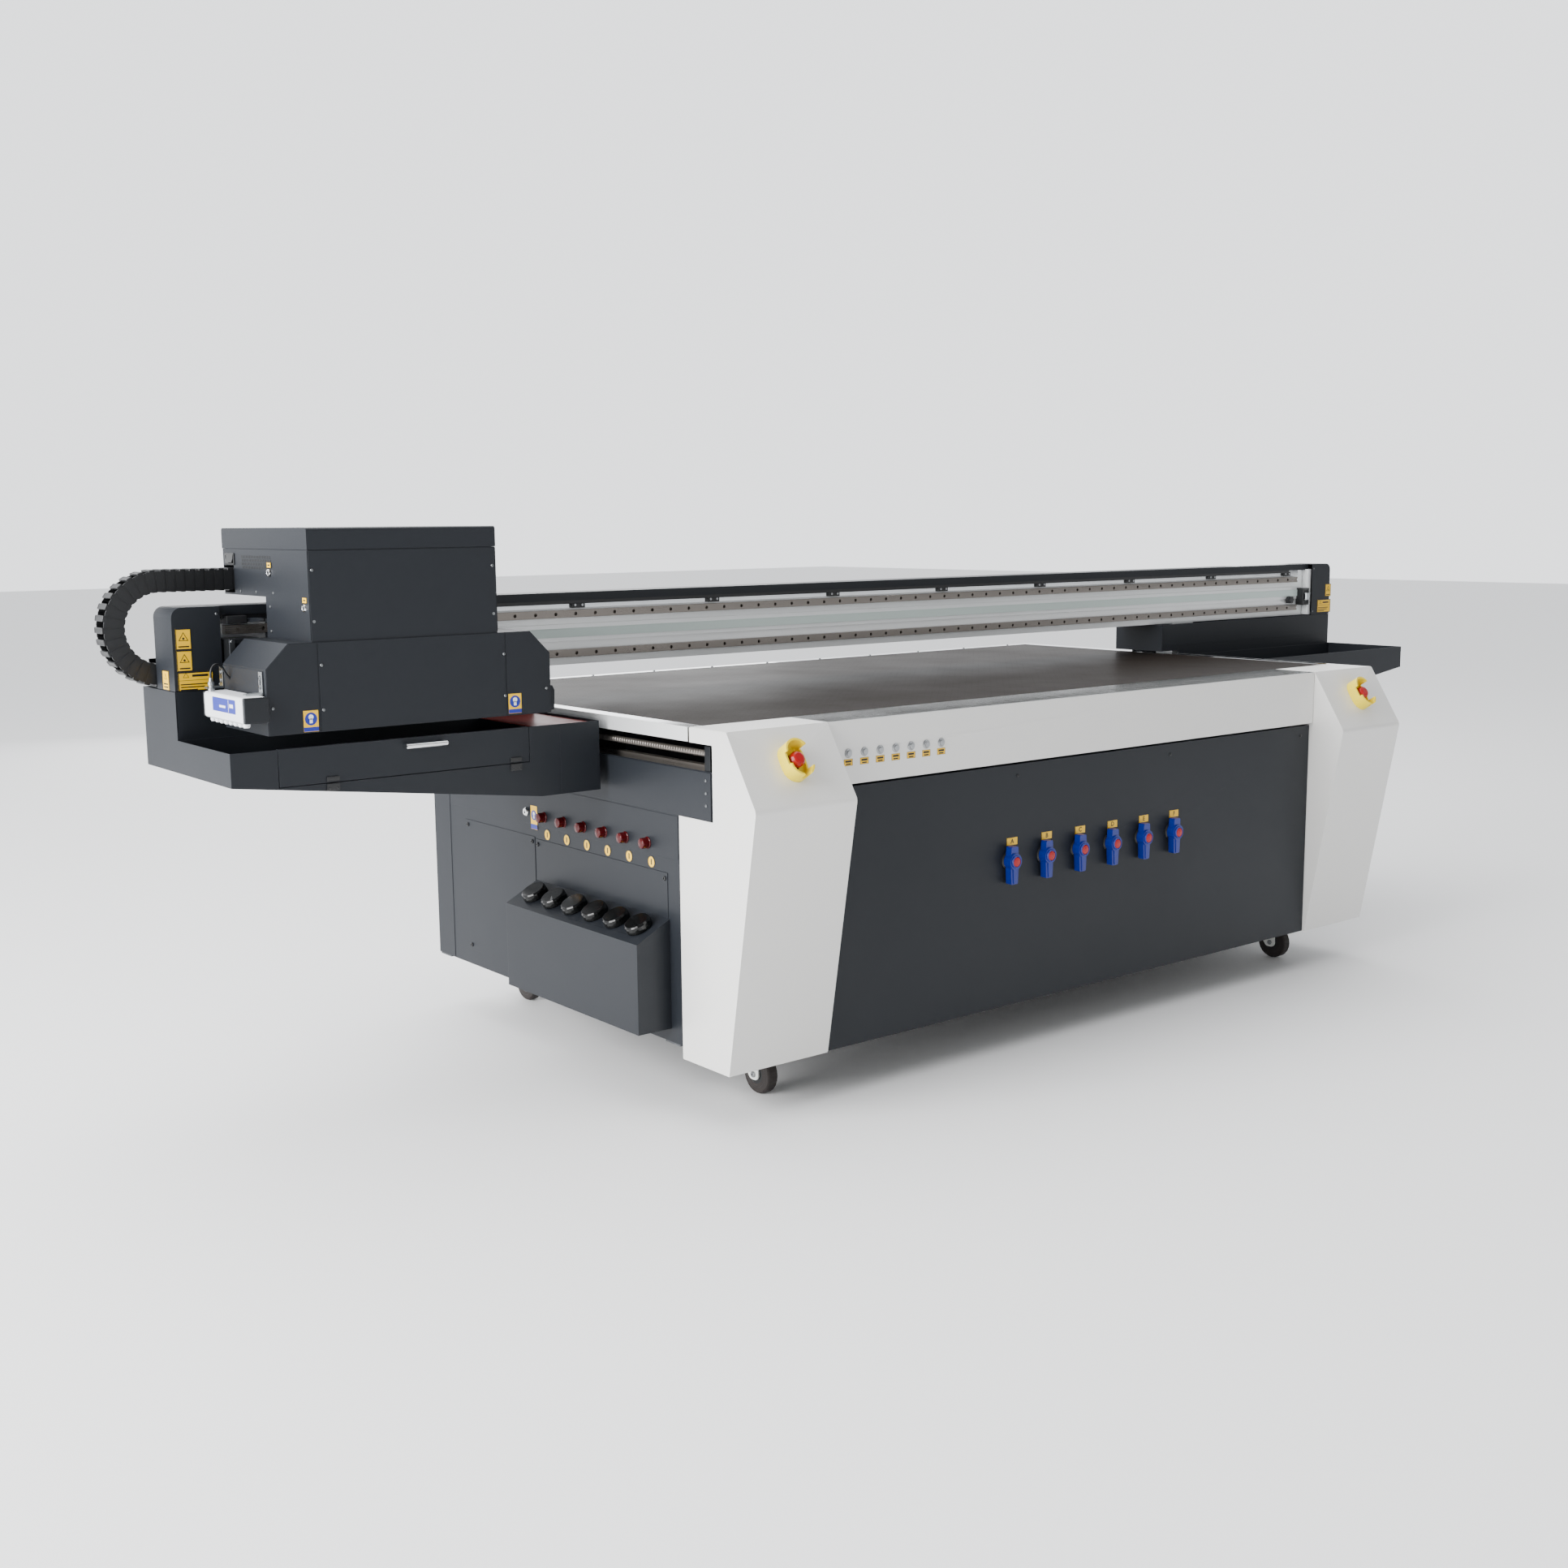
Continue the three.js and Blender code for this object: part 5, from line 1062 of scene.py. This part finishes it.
class PRINTER_OT_trays(bpy.types.Operator):
    """Add the handle, hinges, capping station and liners of the two trays"""
    bl_idname = "printer.trays"
    bl_label = "Trays"

    def execute(self, context):
        front = DOOR_LOW.y
        posts = [block("handle_post", (x - 7, front - 20, 888), (x + 7, front + 0.5, 901), edge=2.6,
                       steps=3) for x in (-545, -457)]
        grip = bar("pull_handle", (-553, front - 21, 894.5), RIGHT, 6.2, 104, sides=20, edge=3)
        done(joined("pull_handle", [grip, *posts]), "tray_door", "chrome plate")
        for number, x in enumerate((-720, -263), start=1):
            done(block(f"hinge_door_{number}", (x - 15, front - 3.5, 832), (x + 15, front, 842), edge=1),
                 "tray_door", "black nylon")
            done(block(f"hinge_tray_{number}", (x - 15, front - 3.5, 811), (x + 15, front, 826), edge=1),
                 "gantry", "black nylon")
            done(bar(f"hinge_barrel_{number}", (x - 14, front - 1.5, 825.6), RIGHT, 1.7, 28, sides=16),
                 "gantry", "black nylon")
            screws(f"hinge_screws_{number}", [(x - 9, front - 3.5, 816), (x + 9, front - 3.5, 816)], FRONT,
                   "gantry", 2.4, "black nylon")
        done(block("rear_bay_front", (TRAY_LOW.x + 3, HOUSING_LEFT[0].y, DOOR_HIGH.z - 4),
                   (-40, HOUSING_LEFT[0].y + 1.6, TRAY_HIGH.z), edge=0.5), "gantry", "powder coat")
        done(block("tray_seam", (-141, TRAY_LOW.y - 0.6, TRAY_LOW.z + 2), (-32, TRAY_LOW.y, 910), edge=0.4),
             "gantry", "powder coat")
        done(block("drip_sheet", (-190, TRAY_LOW.y + 8, 903), (-34, 630, 905.5), edge=0.8), "gantry",
             "red acrylic sheet")
        deck = block("station_deck", (-724, 350, 842), (-330, 560, 866), edge=2)
        sink(deck, UP, 10, -6)
        done(deck, "gantry", "milled aluminium")
        low, high = span("print_head_plate")
        for number, (x, y) in enumerate(head_places(low, high), start=1):
            cup = block(f"capping_cup_{number}", (x - 40, y - 28, 864), (x + 40, y + 28, 886), edge=3,
                        steps=3)
            sink(cup, UP, 5, -8)
            done(cup, "gantry", "white silicone")
        channel = block("waste_channel", (-300, 350, 842), (-215, 560, 858), edge=2)
        sink(channel, UP, 8, -10)
        done(channel, "gantry", "black nylon")
        done(block("right_tray_rim", (RIGHT_TRAY_LOW.x + 6, RIGHT_TRAY_HIGH.y - 5, 880),
                   (RIGHT_TRAY_HIGH.x - 6, RIGHT_TRAY_HIGH.y - 3.2, 910.5), edge=0.4), "gantry",
             "polished stainless")
        for number, x in enumerate((2690, 3010, 3330), start=1):
            done(block(f"right_tray_rib_{number}", (x, TRAY_LOW.y + 4, 846), (x + 14, 632, 851), edge=1.4),
                 "gantry", "powder coat")
        done(block("foot_cover_fold", (LENGTH - 50, span("foot_cover_right")[0].y - 0.7, 946),
                   (HOUSING_RIGHT[1].x - 4, span("foot_cover_right")[0].y, 1018), edge=0.4), "gantry",
             "powder coat")
        return {"FINISHED"}


# ---------- carriage ----------

class PRINTER_OT_carriage_fittings(bpy.types.Operator):
    """Add the switch, grille, locks, seams and screws of the carriage"""
    bl_idname = "printer.carriage_fittings"
    bl_label = "Carriage fittings"

    def execute(self, context):
        side = CARRIAGE_LOW.x
        front = CARRIAGE_LOW.y
        right = CARRIAGE_HIGH.x
        done(block("carriage_front_skin", (side + 1, front - 1.2, 1102), (right - 1, front, 1331),
                   edge=0.7), "carriage", "powder coat")
        for name, x0, x1 in (("left", side - 1.2, side), ("right", right, right + 1.2)):
            done(block(f"carriage_{name}_skin", (x0, front, 1140), (x1, 523, 1331), edge=0.6), "carriage",
                 "powder coat")
        bezel = block("rocker_bezel", (side - 2.4, 744, 1295), (side, 800, 1323), edge=1.2)
        sink(bezel, LEFT, 4, -1.2)
        done(bezel, "carriage", "gloss black plastic")
        done(prism("rocker_switch", [(side - 1.5, 752, 1299), (side - 5.5, 752, 1301),
                                     (side - 2.6, 752, 1310), (side - 1.8, 752, 1319)], (0, 40, 0),
                   edge=0.6), "carriage", "gloss black plastic")
        # The cooling slots are thin black strips on the side face: painted shade in the slot openings, which
        # are not cut.
        slot = block("cooling_slots", (side - 0.5, 534, 1288), (side + 0.2, 537.2, 1294), edge=0.15, steps=1)
        line = repeat(slot, 25, (0, 6.8, 0))
        rows = []
        for number in range(4):
            only(line)
            bpy.ops.object.duplicate(linked=False)
            twin = named(f"cooling_row_{number}")
            twin.location = Vector((0, 3.4 * (number % 2), 8 * number)) * MM
            rows.append(settle(twin))
        bpy.data.objects.remove(line)
        done(joined("cooling_slots", rows), "carriage", "black print")
        for number, (y, z) in enumerate(((544, 1281), (360, 1208)), start=1):
            lock = turned(f"cam_lock_{number}", [(0, 3.4), (4.6, 3.4), (5.2, 4), (7.4, 3.6), (8.6, 2),
                                                 (8.8, 0), (0, 0)], (side - 1.2, y, z), LEFT)
            carve(lock, block("keyway", (side - 6, y - 0.9, z - 3.6), (side - 3.2, y + 0.9, z + 3.6), edge=0))
            done(lock, "carriage", "chrome plate")
            sticker(f"lock_label_{number}", (side - 1.25, y - 1, z + 17), FRONT, UP, 22, 12,
                    [("line", 0, 0, 12, 3)], "carriage")
        screws("carriage_front_screws", [(x, front - 1.2, 1290) for x in (side + 8, right - 9)], FRONT,
               "carriage", 3.5)
        # Flat heads, because the skirt lifts over them.
        flat = turned("carriage_flat_screws", [(0, 0), (3.5, 0), (3.3, 0.5), (1.4, 0.5), (1.2, 0.2),
                                               (0, 0.2)], (side + 8, front - 1.2, 1180), FRONT, steps=12)
        pair = copies(flat, "carriage_flat_screws", [(right - side - 17, 0, 0)])
        done(joined("carriage_flat_screws", pair), "carriage", "screw steel")
        screws("carriage_side_screws", [(side, y, z) for y, z in ((716, 1236), (625, 1236), (528, 1236),
                                                                  (549, 1205), (549, 1150))], LEFT,
               "carriage", 3.2)
        screws("carriage_right_screws", [(right, y, z) for y, z in ((716, 1236), (625, 1236), (549, 1205),
                                                                    (549, 1150))], RIGHT, "carriage", 3.2)
        done(turned("carriage_fan_grille", [(0, 0), (46, 0), (46, 2), (42, 3), (40, 1.2), (34, 1.2),
                                            (33, 2.6), (29, 2.6), (28, 1.2), (22, 1.2), (21, 2.6),
                                            (17, 2.6), (16, 1.2), (0, 1.2)],
                    ((side + right) / 2, CARRIAGE_HIGH.y, 1280), BACK, steps=40), "carriage", "black nylon")
        lid_seam = block("lid_rear_hinges", (side + 60, LID_HIGH.y - 0.5, 1335),
                         (side + 120, LID_HIGH.y + 3, 1352), edge=1.2)
        for hinge in copies(lid_seam, "lid_hinge_leaf", [(270, 0, 0)]):
            done(hinge, "lid", "black nylon")
        return {"FINISHED"}


class PRINTER_OT_head_skirt(bpy.types.Operator):
    """Add the seams, screws, signs and strike tabs of the head skirt"""
    bl_idname = "printer.head_skirt"
    bl_label = "Head skirt"

    def execute(self, context):
        front = SKIRT_LOW.y
        left, right = SKIRT_LOW.x, SKIRT_HIGH.x
        inner_left, inner_right = CARRIAGE_LOW.x + 10, CARRIAGE_HIGH.x + 16
        top, bottom = SKIRT_HIGH.z, SKIRT_LOW.z
        done(block("skirt_middle_skin", (inner_left + 1.5, front - 1.3, bottom + 1),
                   (inner_right - 1.5, front, top - 1), edge=0.7), "head", "powder coat")
        for name, x0, x1, wing in (("left", left, inner_left, 1), ("right", right, inner_right, -1)):
            corners = [(x0 + wing, front, bottom + 1), (x1 - wing * 1.5, front, bottom + 1),
                       (x1 - wing * 1.5, front, top - 1), (x0 + wing * 52.5, front, top - 1),
                       (x0 + wing, front, top - 53.5)]
            done(prism(f"skirt_{name}_skin", corners, (0, -1.3, 0), edge=0.5), "head", "powder coat")
        face = front - 1.3
        places = [(x, face, z) for x in (inner_left + 8, inner_right - 4) for z in (1086, 989)]
        places += [(left + 12, face, 1000), (right - 12, face, 999)]
        screws("skirt_screws", places, FRONT, "head", 3.5)
        sign("goggle_sign_left", (inner_left - 22, face - 0.1, 967), RIGHT, 34, 46, "head")
        sign("goggle_sign_right", (inner_right + 21, face - 0.1, 969), RIGHT, 34, 46, "head")
        for name, x in (("side", left - 1.2), ("right", right)):
            done(block(f"skirt_{name}_plate", (x, front + 12, bottom + 40),
                       (x + 1.2, SKIRT_HIGH.y - 6, top - 56), edge=0.6), "head", "powder coat")
        done(block("strike_sensor", (right + 1.2, 430, 958), (right + 34, 500, 1012), edge=2.4, steps=3),
             "head", "black nylon")
        done(prism("strike_tab", [(right + 2, 340, 946), (right + 14, 340, 946), (right + 16, 340, 992),
                                  (right + 10, 340, 1004), (right + 2, 340, 1004)], (0, 58, 0), edge=1),
             "head", "powder coat")
        return {"FINISHED"}


class PRINTER_OT_ioniser(bpy.types.Operator):
    """Add the ioniser bar beside the heads, with its brackets, nozzles and cable"""
    bl_idname = "printer.ioniser"
    bl_label = "Ioniser"

    def execute(self, context):
        out = SKIRT_LOW.x
        x0, x1 = out - 62, out - 6
        y0, y1 = 316, 532
        case = block("ioniser_case", (x0, y0, 972), (x1, y1, 1029), edge=7, steps=4)
        sink(case, LEFT, 4, -0.8)
        done(case, "head", "white moulded case")
        for name, a, b in (("near", y0 - 9, y0 + 1), ("far", y1 - 1, y1 + 9)):
            done(block(f"ioniser_end_{name}", (x0 + 2, a, 973), (x1 + 2, b, 1028), edge=3, steps=3), "head",
                 "black anodised aluminium")
        sticker("ioniser_label", (x0 + 0.7, 416, 1006), FRONT, UP, 128, 30,
                [("line", -8, -3, 34, 5, "white vinyl"), ("line", 42, 1, 20, 8, "white vinyl"),
                 ("line", 26, 0, 1.4, 26, "white vinyl")], "head", "blue vinyl", border=False)
        nozzle = turned("ioniser_nozzle", [(0, -1), (8, -1), (8, 6), (6, 9), (2.6, 9), (2.6, 4), (0, 4)],
                        (x0 + 16, y0 + 18, 972), DOWN, steps=16)
        for copy in copies(nozzle, "ioniser_nozzle", [(0, 26 * i, 0) for i in range(1, 8)]):
            done(copy, "head", "white moulded case")
        for number, y in enumerate((344, 566), start=1):
            foot = prism(f"ioniser_bracket_{number}", [(out - 1.2, y, 1078), (out - 4.2, y, 1078),
                                                       (out - 4.2, y, 1034), (out - 40, y, 1033),
                                                       (out - 40, y, 1029), (out - 1.2, y, 1029)],
                         (0, 18, 0), edge=0.8)
            carve(foot, prism("slot", [(out - 20, y + 6, 1040), (out - 20, y + 12, 1040),
                                       (out - 20, y + 12, 1070), (out - 20, y + 6, 1070)], (18.8, 0, 0)))
            done(foot, "head", "milled aluminium")
            screws(f"bracket_screws_{number}", [(out - 4.2, y + 9, 1046), (out - 4.2, y + 9, 1064)], LEFT,
                   "head", 4.4)
        gland_x, gland_y = x0 + 12, y1 - 18
        done(turned("cable_gland", [(0, 0), (7, 0), (7, 7), (5.4, 8), (5.4, 13), (6.8, 14), (6.8, 20),
                                    (4.4, 23), (3.4, 30), (0, 30)], (gland_x, gland_y, 1028), UP, steps=16),
             "head", "stainless steel")
        goal = Vector((out - 1.0, 529, 1052))
        top = Vector((gland_x, gland_y, 1056))
        route = [Vector((out - 22, gland_y - 40, 1000)), Vector((out - 30, gland_y - 22, 1002)),
                 Vector((gland_x, gland_y, 1008)), Vector((gland_x, gland_y, 1040)), top,
                 top + Vector((1, 2, 18)), top + Vector((10, 6, 30)), top + Vector((24, 12, 30)),
                 top + Vector((36, 15, 18)), goal + Vector((-8, 1, 9)), goal]
        bpy.ops.object.select_all(action="DESELECT")
        line = bpy.data.curves.new("ioniser_cable", "CURVE")
        line.dimensions = "3D"
        line.bevel_depth = 2.6 * MM
        line.bevel_resolution = 3
        line.use_fill_caps = True
        thread = line.splines.new("NURBS")
        thread.points.add(len(route) - 1)
        for point, spot in zip(thread.points, route):
            point.co = (*at(*spot), 1)
        thread.use_endpoint_u = True
        thread.order_u = 4
        thread.resolution_u = 6
        cable = bpy.data.objects.new("ioniser_cable", line)
        bpy.context.scene.collection.objects.link(cable)
        line.materials.append(FINISH["black nylon"][0])
        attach(cable, "head")
        length = curve_length(route)
        return {"FINISHED"}


def curve_length(route):
    """Length in metres of the smooth curve of order four through a route's control points."""
    count = len(route)
    order = 4
    knots = [0.0] * order + [float(i) for i in range(1,
                                                     count - order + 1)] + [float(count - order + 1)] * order

    def basis(i, k, t):
        if k == 1:
            return 1.0 if knots[i] <= t < knots[i + 1] else 0.0
        total = 0.0
        if knots[i + k - 1] > knots[i]:
            total += (t - knots[i]) / (knots[i + k - 1] - knots[i]) * basis(i, k - 1, t)
        if knots[i + k] > knots[i + 1]:
            total += (knots[i + k] - t) / (knots[i + k] - knots[i + 1]) * basis(i + 1, k - 1, t)
        return total

    last = count - order + 1
    spots = []
    for step in range(200):
        t = min(last * step / 199, last - 1e-9)
        spots.append(sum((point * basis(i, order, t) for i, point in enumerate(route)), Vector()))
    return sum((b - a).length for a, b in zip(spots, spots[1:])) * MM


class PRINTER_OT_print_heads(bpy.types.Operator):
    """Add the nozzle plates under the heads and the glass of the curing lamps"""
    bl_idname = "printer.print_heads"
    bl_label = "Print heads"

    def execute(self, context):
        low, high = span("print_head_plate")
        for number, (x, y) in enumerate(head_places(low, high), start=1):
            plate = block(f"nozzle_plate_{number}", (x - 38, y - 27, low.z - 2),
                          (x + 38, y + 27, low.z + 0.5), edge=0.8)
            sink(plate, DOWN, 9, -0.6)
            done(plate, "head", "polished stainless")
            top = block(f"head_body_{number}", (x - 34, y - 22, high.z - 1), (x + 34, y + 22, high.z + 46),
                        edge=3)
            sink(top, UP, 7, -3)
            done(top, "head", "black nylon")
        for side in ("left", "right"):
            low, high = span(f"uv_lamp_{side}")
            done(block(f"lamp_glass_{side}", (low.x + 13, low.y + 13, low.z + 1.5),
                       (high.x - 13, high.y - 13, low.z + 4), edge=0.6), "head", "lamp glass")
            rim = prism(f"lamp_rim_{side}", [(low.x + 4, low.y + 4, low.z), (high.x - 4, low.y + 4, low.z),
                                             (high.x - 4, high.y - 4, low.z),
                                             (low.x + 4, high.y - 4, low.z)], (0, 0, -1.6))
            carve(rim, block("opening", (low.x + 14, low.y + 14, low.z - 9),
                             (high.x - 14, high.y - 14, low.z + 9), edge=0))
            done(rim, "head", "milled aluminium")
        return {"FINISHED"}


# ---------- rear and casters ----------

class PRINTER_OT_rear(bpy.types.Operator):
    """Add the vents, doors, inlet and blower outlet of the back"""
    bl_idname = "printer.rear"
    bl_label = "Rear fittings"

    def execute(self, context):
        face = span("rear_panel")[1].y
        for number, (x0, x1) in enumerate(((116, 860), (870, 1630), (1640, 2384)), start=1):
            done(block(f"rear_hatch_{number}", (x0, face, 210), (x1, face + 1.4, 700), edge=0.6), "base",
                 "powder coat")
            screws(f"rear_hatch_locks_{number}", [(x, face + 1.4, z) for x in (x0 + 14,
                                                                               x1 - 14) for z in (226,
                                                                                                  684)],
                   BACK, "base", 6.0, "black nylon")
        for number, x in enumerate((300, 2000), start=1):
            slat = block(f"rear_louvre_{number}", (x, face + 1.2, 560), (x + 150, face + 7, 566), edge=2.6)
            done(repeat(slat, 7, (0, 0, 14)), "base", "powder coat")
        done(turned("blower_outlet", [(34, 0), (60, 0), (60, 5), (44, 8), (44, 40), (38, 42), (34, 40),
                                      (34, 0)], (1250, face + 1.4, 330), BACK, steps=36), "base",
             "black nylon")
        inlet = block("power_inlet", (1500, face + 1.4, 250), (1580, face + 22, 330), edge=3, steps=3)
        sink(inlet, BACK, 9, -9)
        done(inlet, "base", "black nylon")
        done(turned("mains_switch", [(0, 26), (10, 26), (12, 12), (26, 10), (28, 0), (0, 0)],
                    (1680, face + 1.4, 290), BACK), "base", "red moulded button")
        done(turned("vacuum_blower", [(0, 0), (120, 0), (150, 20), (155, 60), (150, 120), (110, 150),
                                      (90, 240), (84, 300), (0, 300)], (1250, 520, 360), BACK, steps=40),
             "base", "black anodised aluminium")
        stand = block("blower_stand", (1110, 540, 211), (1390, 790, 224), edge=3)
        legs = [block("blower_leg", (x, 560, 212), (x + 30, 770, 300), edge=3) for x in (1130, 1340)]
        done(joined("blower_stand", [stand, *legs]), "base", "frame enamel")
        done(block("cabinet_floor", (64, 122, 211), (LENGTH - 64, 1196, 213), edge=0.5), "base",
             "powder coat")
        return {"FINISHED"}


class PRINTER_OT_caster_details(bpy.types.Operator):
    """Add the hubs, swivel nuts and pedal pads of the casters"""
    bl_idname = "printer.caster_details"
    bl_label = "Caster details"

    def execute(self, context):
        for place in CASTERS:
            low, high = span(f"caster_wheel_{place}")
            axle = (low + high) / 2
            done(turned(f"wheel_hub_{place}", [(6.3, -16.4), (24, -16.4), (30, -14), (34, -16.2),
                                               (35, -15.6), (35, 15.6), (34, 16.2), (30, 14), (24, 16.4),
                                               (6.3, 16.4), (6.3, -16.4)], axle, RIGHT, steps=32),
                 f"wheel_{place}", "black nylon")
            ends = [turned("axle_head", [(0, -1), (7.5, -1), (7.5, 1.6), (6, 3), (2.2, 3), (2.2, 0.6),
                                         (0, 0.6)], (axle.x + out * 24.4, axle.y, axle.z), (out, 0, 0),
                           steps=20) for out in (-1, 1)]
            done(joined(f"axle_heads_{place}", ends), f"fork_{place}", "stainless steel")
            pivot = axle.y + 35
            run = Vector((0, 36, -48)).normalized()
            pad = block(f"brake_pad_{place}", (-13, 0, 0), (13, 30, 2.6), edge=1.2)
            sink(pad, UP, 3, -0.8)
            spot = (axle.x, pivot + 34, 108.7)
            done(set_down(pad, facing_place(spot, RIGHT, run)), f"fork_{place}", "pale caster enamel")
            done(turned(f"swivel_race_{place}", [(22, 0), (33, 0), (35, 4), (33, 9), (26, 12), (22, 12),
                                                 (22, 0)], (axle.x, pivot, 131), UP, steps=32),
                 f"fork_{place}", "stainless steel")
        return {"FINISHED"}


# ---------- stage ----------

# The camera's place in metres, its yaw, pitch and roll in degrees, and its lens in millimetres.
EYE = (-3.48683, -3.94379, 1.38868)
EYE_TURN = (38.56, -8.61, -0.52)
EYE_LENS = 40.14


class PRINTER_OT_stage(bpy.types.Operator):
    """Add the floor, the soft studio light and the camera"""
    bl_idname = "printer.stage"
    bl_label = "Stage"

    def execute(self, context):
        bpy.ops.object.select_all(action="DESELECT")
        bpy.ops.mesh.primitive_plane_add(size=60, location=(0, 0, 0))
        floor = named("studio_floor")
        with editing(floor, "EDGE", lambda edge: all(v.co.y > 0 for v in edge.verts)):
            bpy.ops.mesh.extrude_region_move(TRANSFORM_OT_translate={"value": (0, 6, 0)})
        floor.data.materials.append(surface("floor paper", "f4f4f4", 0.8, 0.0, None, grain=4.0, tint=0.01,
                                            relief=0.0))
        world = bpy.data.worlds.new("studio")
        context.scene.world = world
        world.use_nodes = True
        tree = world.node_tree
        sky = tree.nodes["Background"]
        sky.inputs["Color"].default_value = linear("f7f9fc")
        # The studio is bright behind the machine and dim behind the camera.
        around = node(tree, "SeparateXYZ", links={"Vector": node(tree, "TexCoord").outputs["Generated"]})
        power = node(tree, "MapRange", {1: -0.5, 2: 0.3, 3: 0.32, 4: 2.2}, {0: around.outputs["Y"]})
        tree.links.new(power.outputs[0], sky.inputs["Strength"])
        lights = {
            "key_light": ((-7.5, -0.6, 3.0), (-0.8, 0.0, 0.7), 5.0, 1150.0),
            "front_light": ((2.5, -7.5, 3.2), (0.3, -0.2, 0.6), 4.0, 60.0),
            "top_light": ((0.5, 1.0, 6.0), (0.2, 0.0, 0.9), 6.0, 200.0),
            "back_light": ((2.0, 6.5, 3.0), (0.0, 0.0, 1.0), 5.0, 160.0),
        }
        for name, (spot, goal, size, power) in lights.items():
            lamp = bpy.data.lights.new(name, "AREA")
            lamp.size = size
            lamp.energy = power
            holder = bpy.data.objects.new(name, lamp)
            holder.location = spot
            holder.rotation_euler = (Vector(goal) - Vector(spot)).to_track_quat("-Z", "Y").to_euler()
            context.scene.collection.objects.link(holder)
        lens = bpy.data.cameras.new("studio_camera")
        lens.sensor_width = 36.0
        lens.lens = EYE_LENS
        lens.clip_end = 100.0
        camera = bpy.data.objects.new("studio_camera", lens)
        context.scene.collection.objects.link(camera)
        yaw, pitch, roll = (math.radians(angle) for angle in EYE_TURN)
        ahead = Vector((math.sin(yaw) * math.cos(pitch), math.cos(yaw) * math.cos(pitch), math.sin(pitch)))
        across = Vector((math.cos(yaw), -math.sin(yaw), 0))
        above = across.cross(ahead)
        right = across * math.cos(roll) + above * math.sin(roll)
        up = above * math.cos(roll) - across * math.sin(roll)
        axes = Matrix([right, up, -ahead]).transposed().to_4x4()
        camera.matrix_world = Matrix.Translation(EYE) @ axes
        context.scene.camera = camera
        return {"FINISHED"}


class PRINTER_PT_sidebar(bpy.types.Panel):
    """Lists the steps that build the printer"""
    bl_idname = "PRINTER_PT_sidebar"
    bl_label = "Flatbed printer"
    bl_space_type = "VIEW_3D"
    bl_region_type = "UI"
    bl_category = "Printer"

    def draw(self, context):
        layout = self.layout
        for group in (context.scene.printer_colours, context.scene.printer_sizes):
            for name in group.__annotations__:
                layout.prop(group, name)
        for step in STEPS:
            layout.operator(step.bl_idname)


STEPS = (
    PRINTER_OT_finishes,
    PRINTER_OT_stage,
    PRINTER_OT_end_panels,
    PRINTER_OT_ink_controls,
    PRINTER_OT_ball_screws,
    PRINTER_OT_stop_guards,
    PRINTER_OT_control_row,
    PRINTER_OT_valves,
    PRINTER_OT_bed_edges,
    PRINTER_OT_rails,
    PRINTER_OT_belt_drive,
    PRINTER_OT_cover_brackets,
    PRINTER_OT_cable_chain,
    PRINTER_OT_housing_labels,
    PRINTER_OT_trays,
    PRINTER_OT_carriage_fittings,
    PRINTER_OT_head_skirt,
    PRINTER_OT_ioniser,
    PRINTER_OT_print_heads,
    PRINTER_OT_rear,
    PRINTER_OT_caster_details,
)
CLASSES = (PrinterColours, PrinterSizes, *STEPS, PRINTER_PT_sidebar)


def register():
    for item in CLASSES:
        bpy.utils.register_class(item)
    bpy.types.Scene.printer_colours = PointerProperty(type=PrinterColours)
    bpy.types.Scene.printer_sizes = PointerProperty(type=PrinterSizes)


def unregister():
    del bpy.types.Scene.printer_sizes
    del bpy.types.Scene.printer_colours
    for item in reversed(CLASSES):
        bpy.utils.unregister_class(item)


def main():
    register()
    for step in STEPS:
        group, action = step.bl_idname.split(".")
        getattr(getattr(bpy.ops, group), action)()


if __name__ == "__main__":
    main()
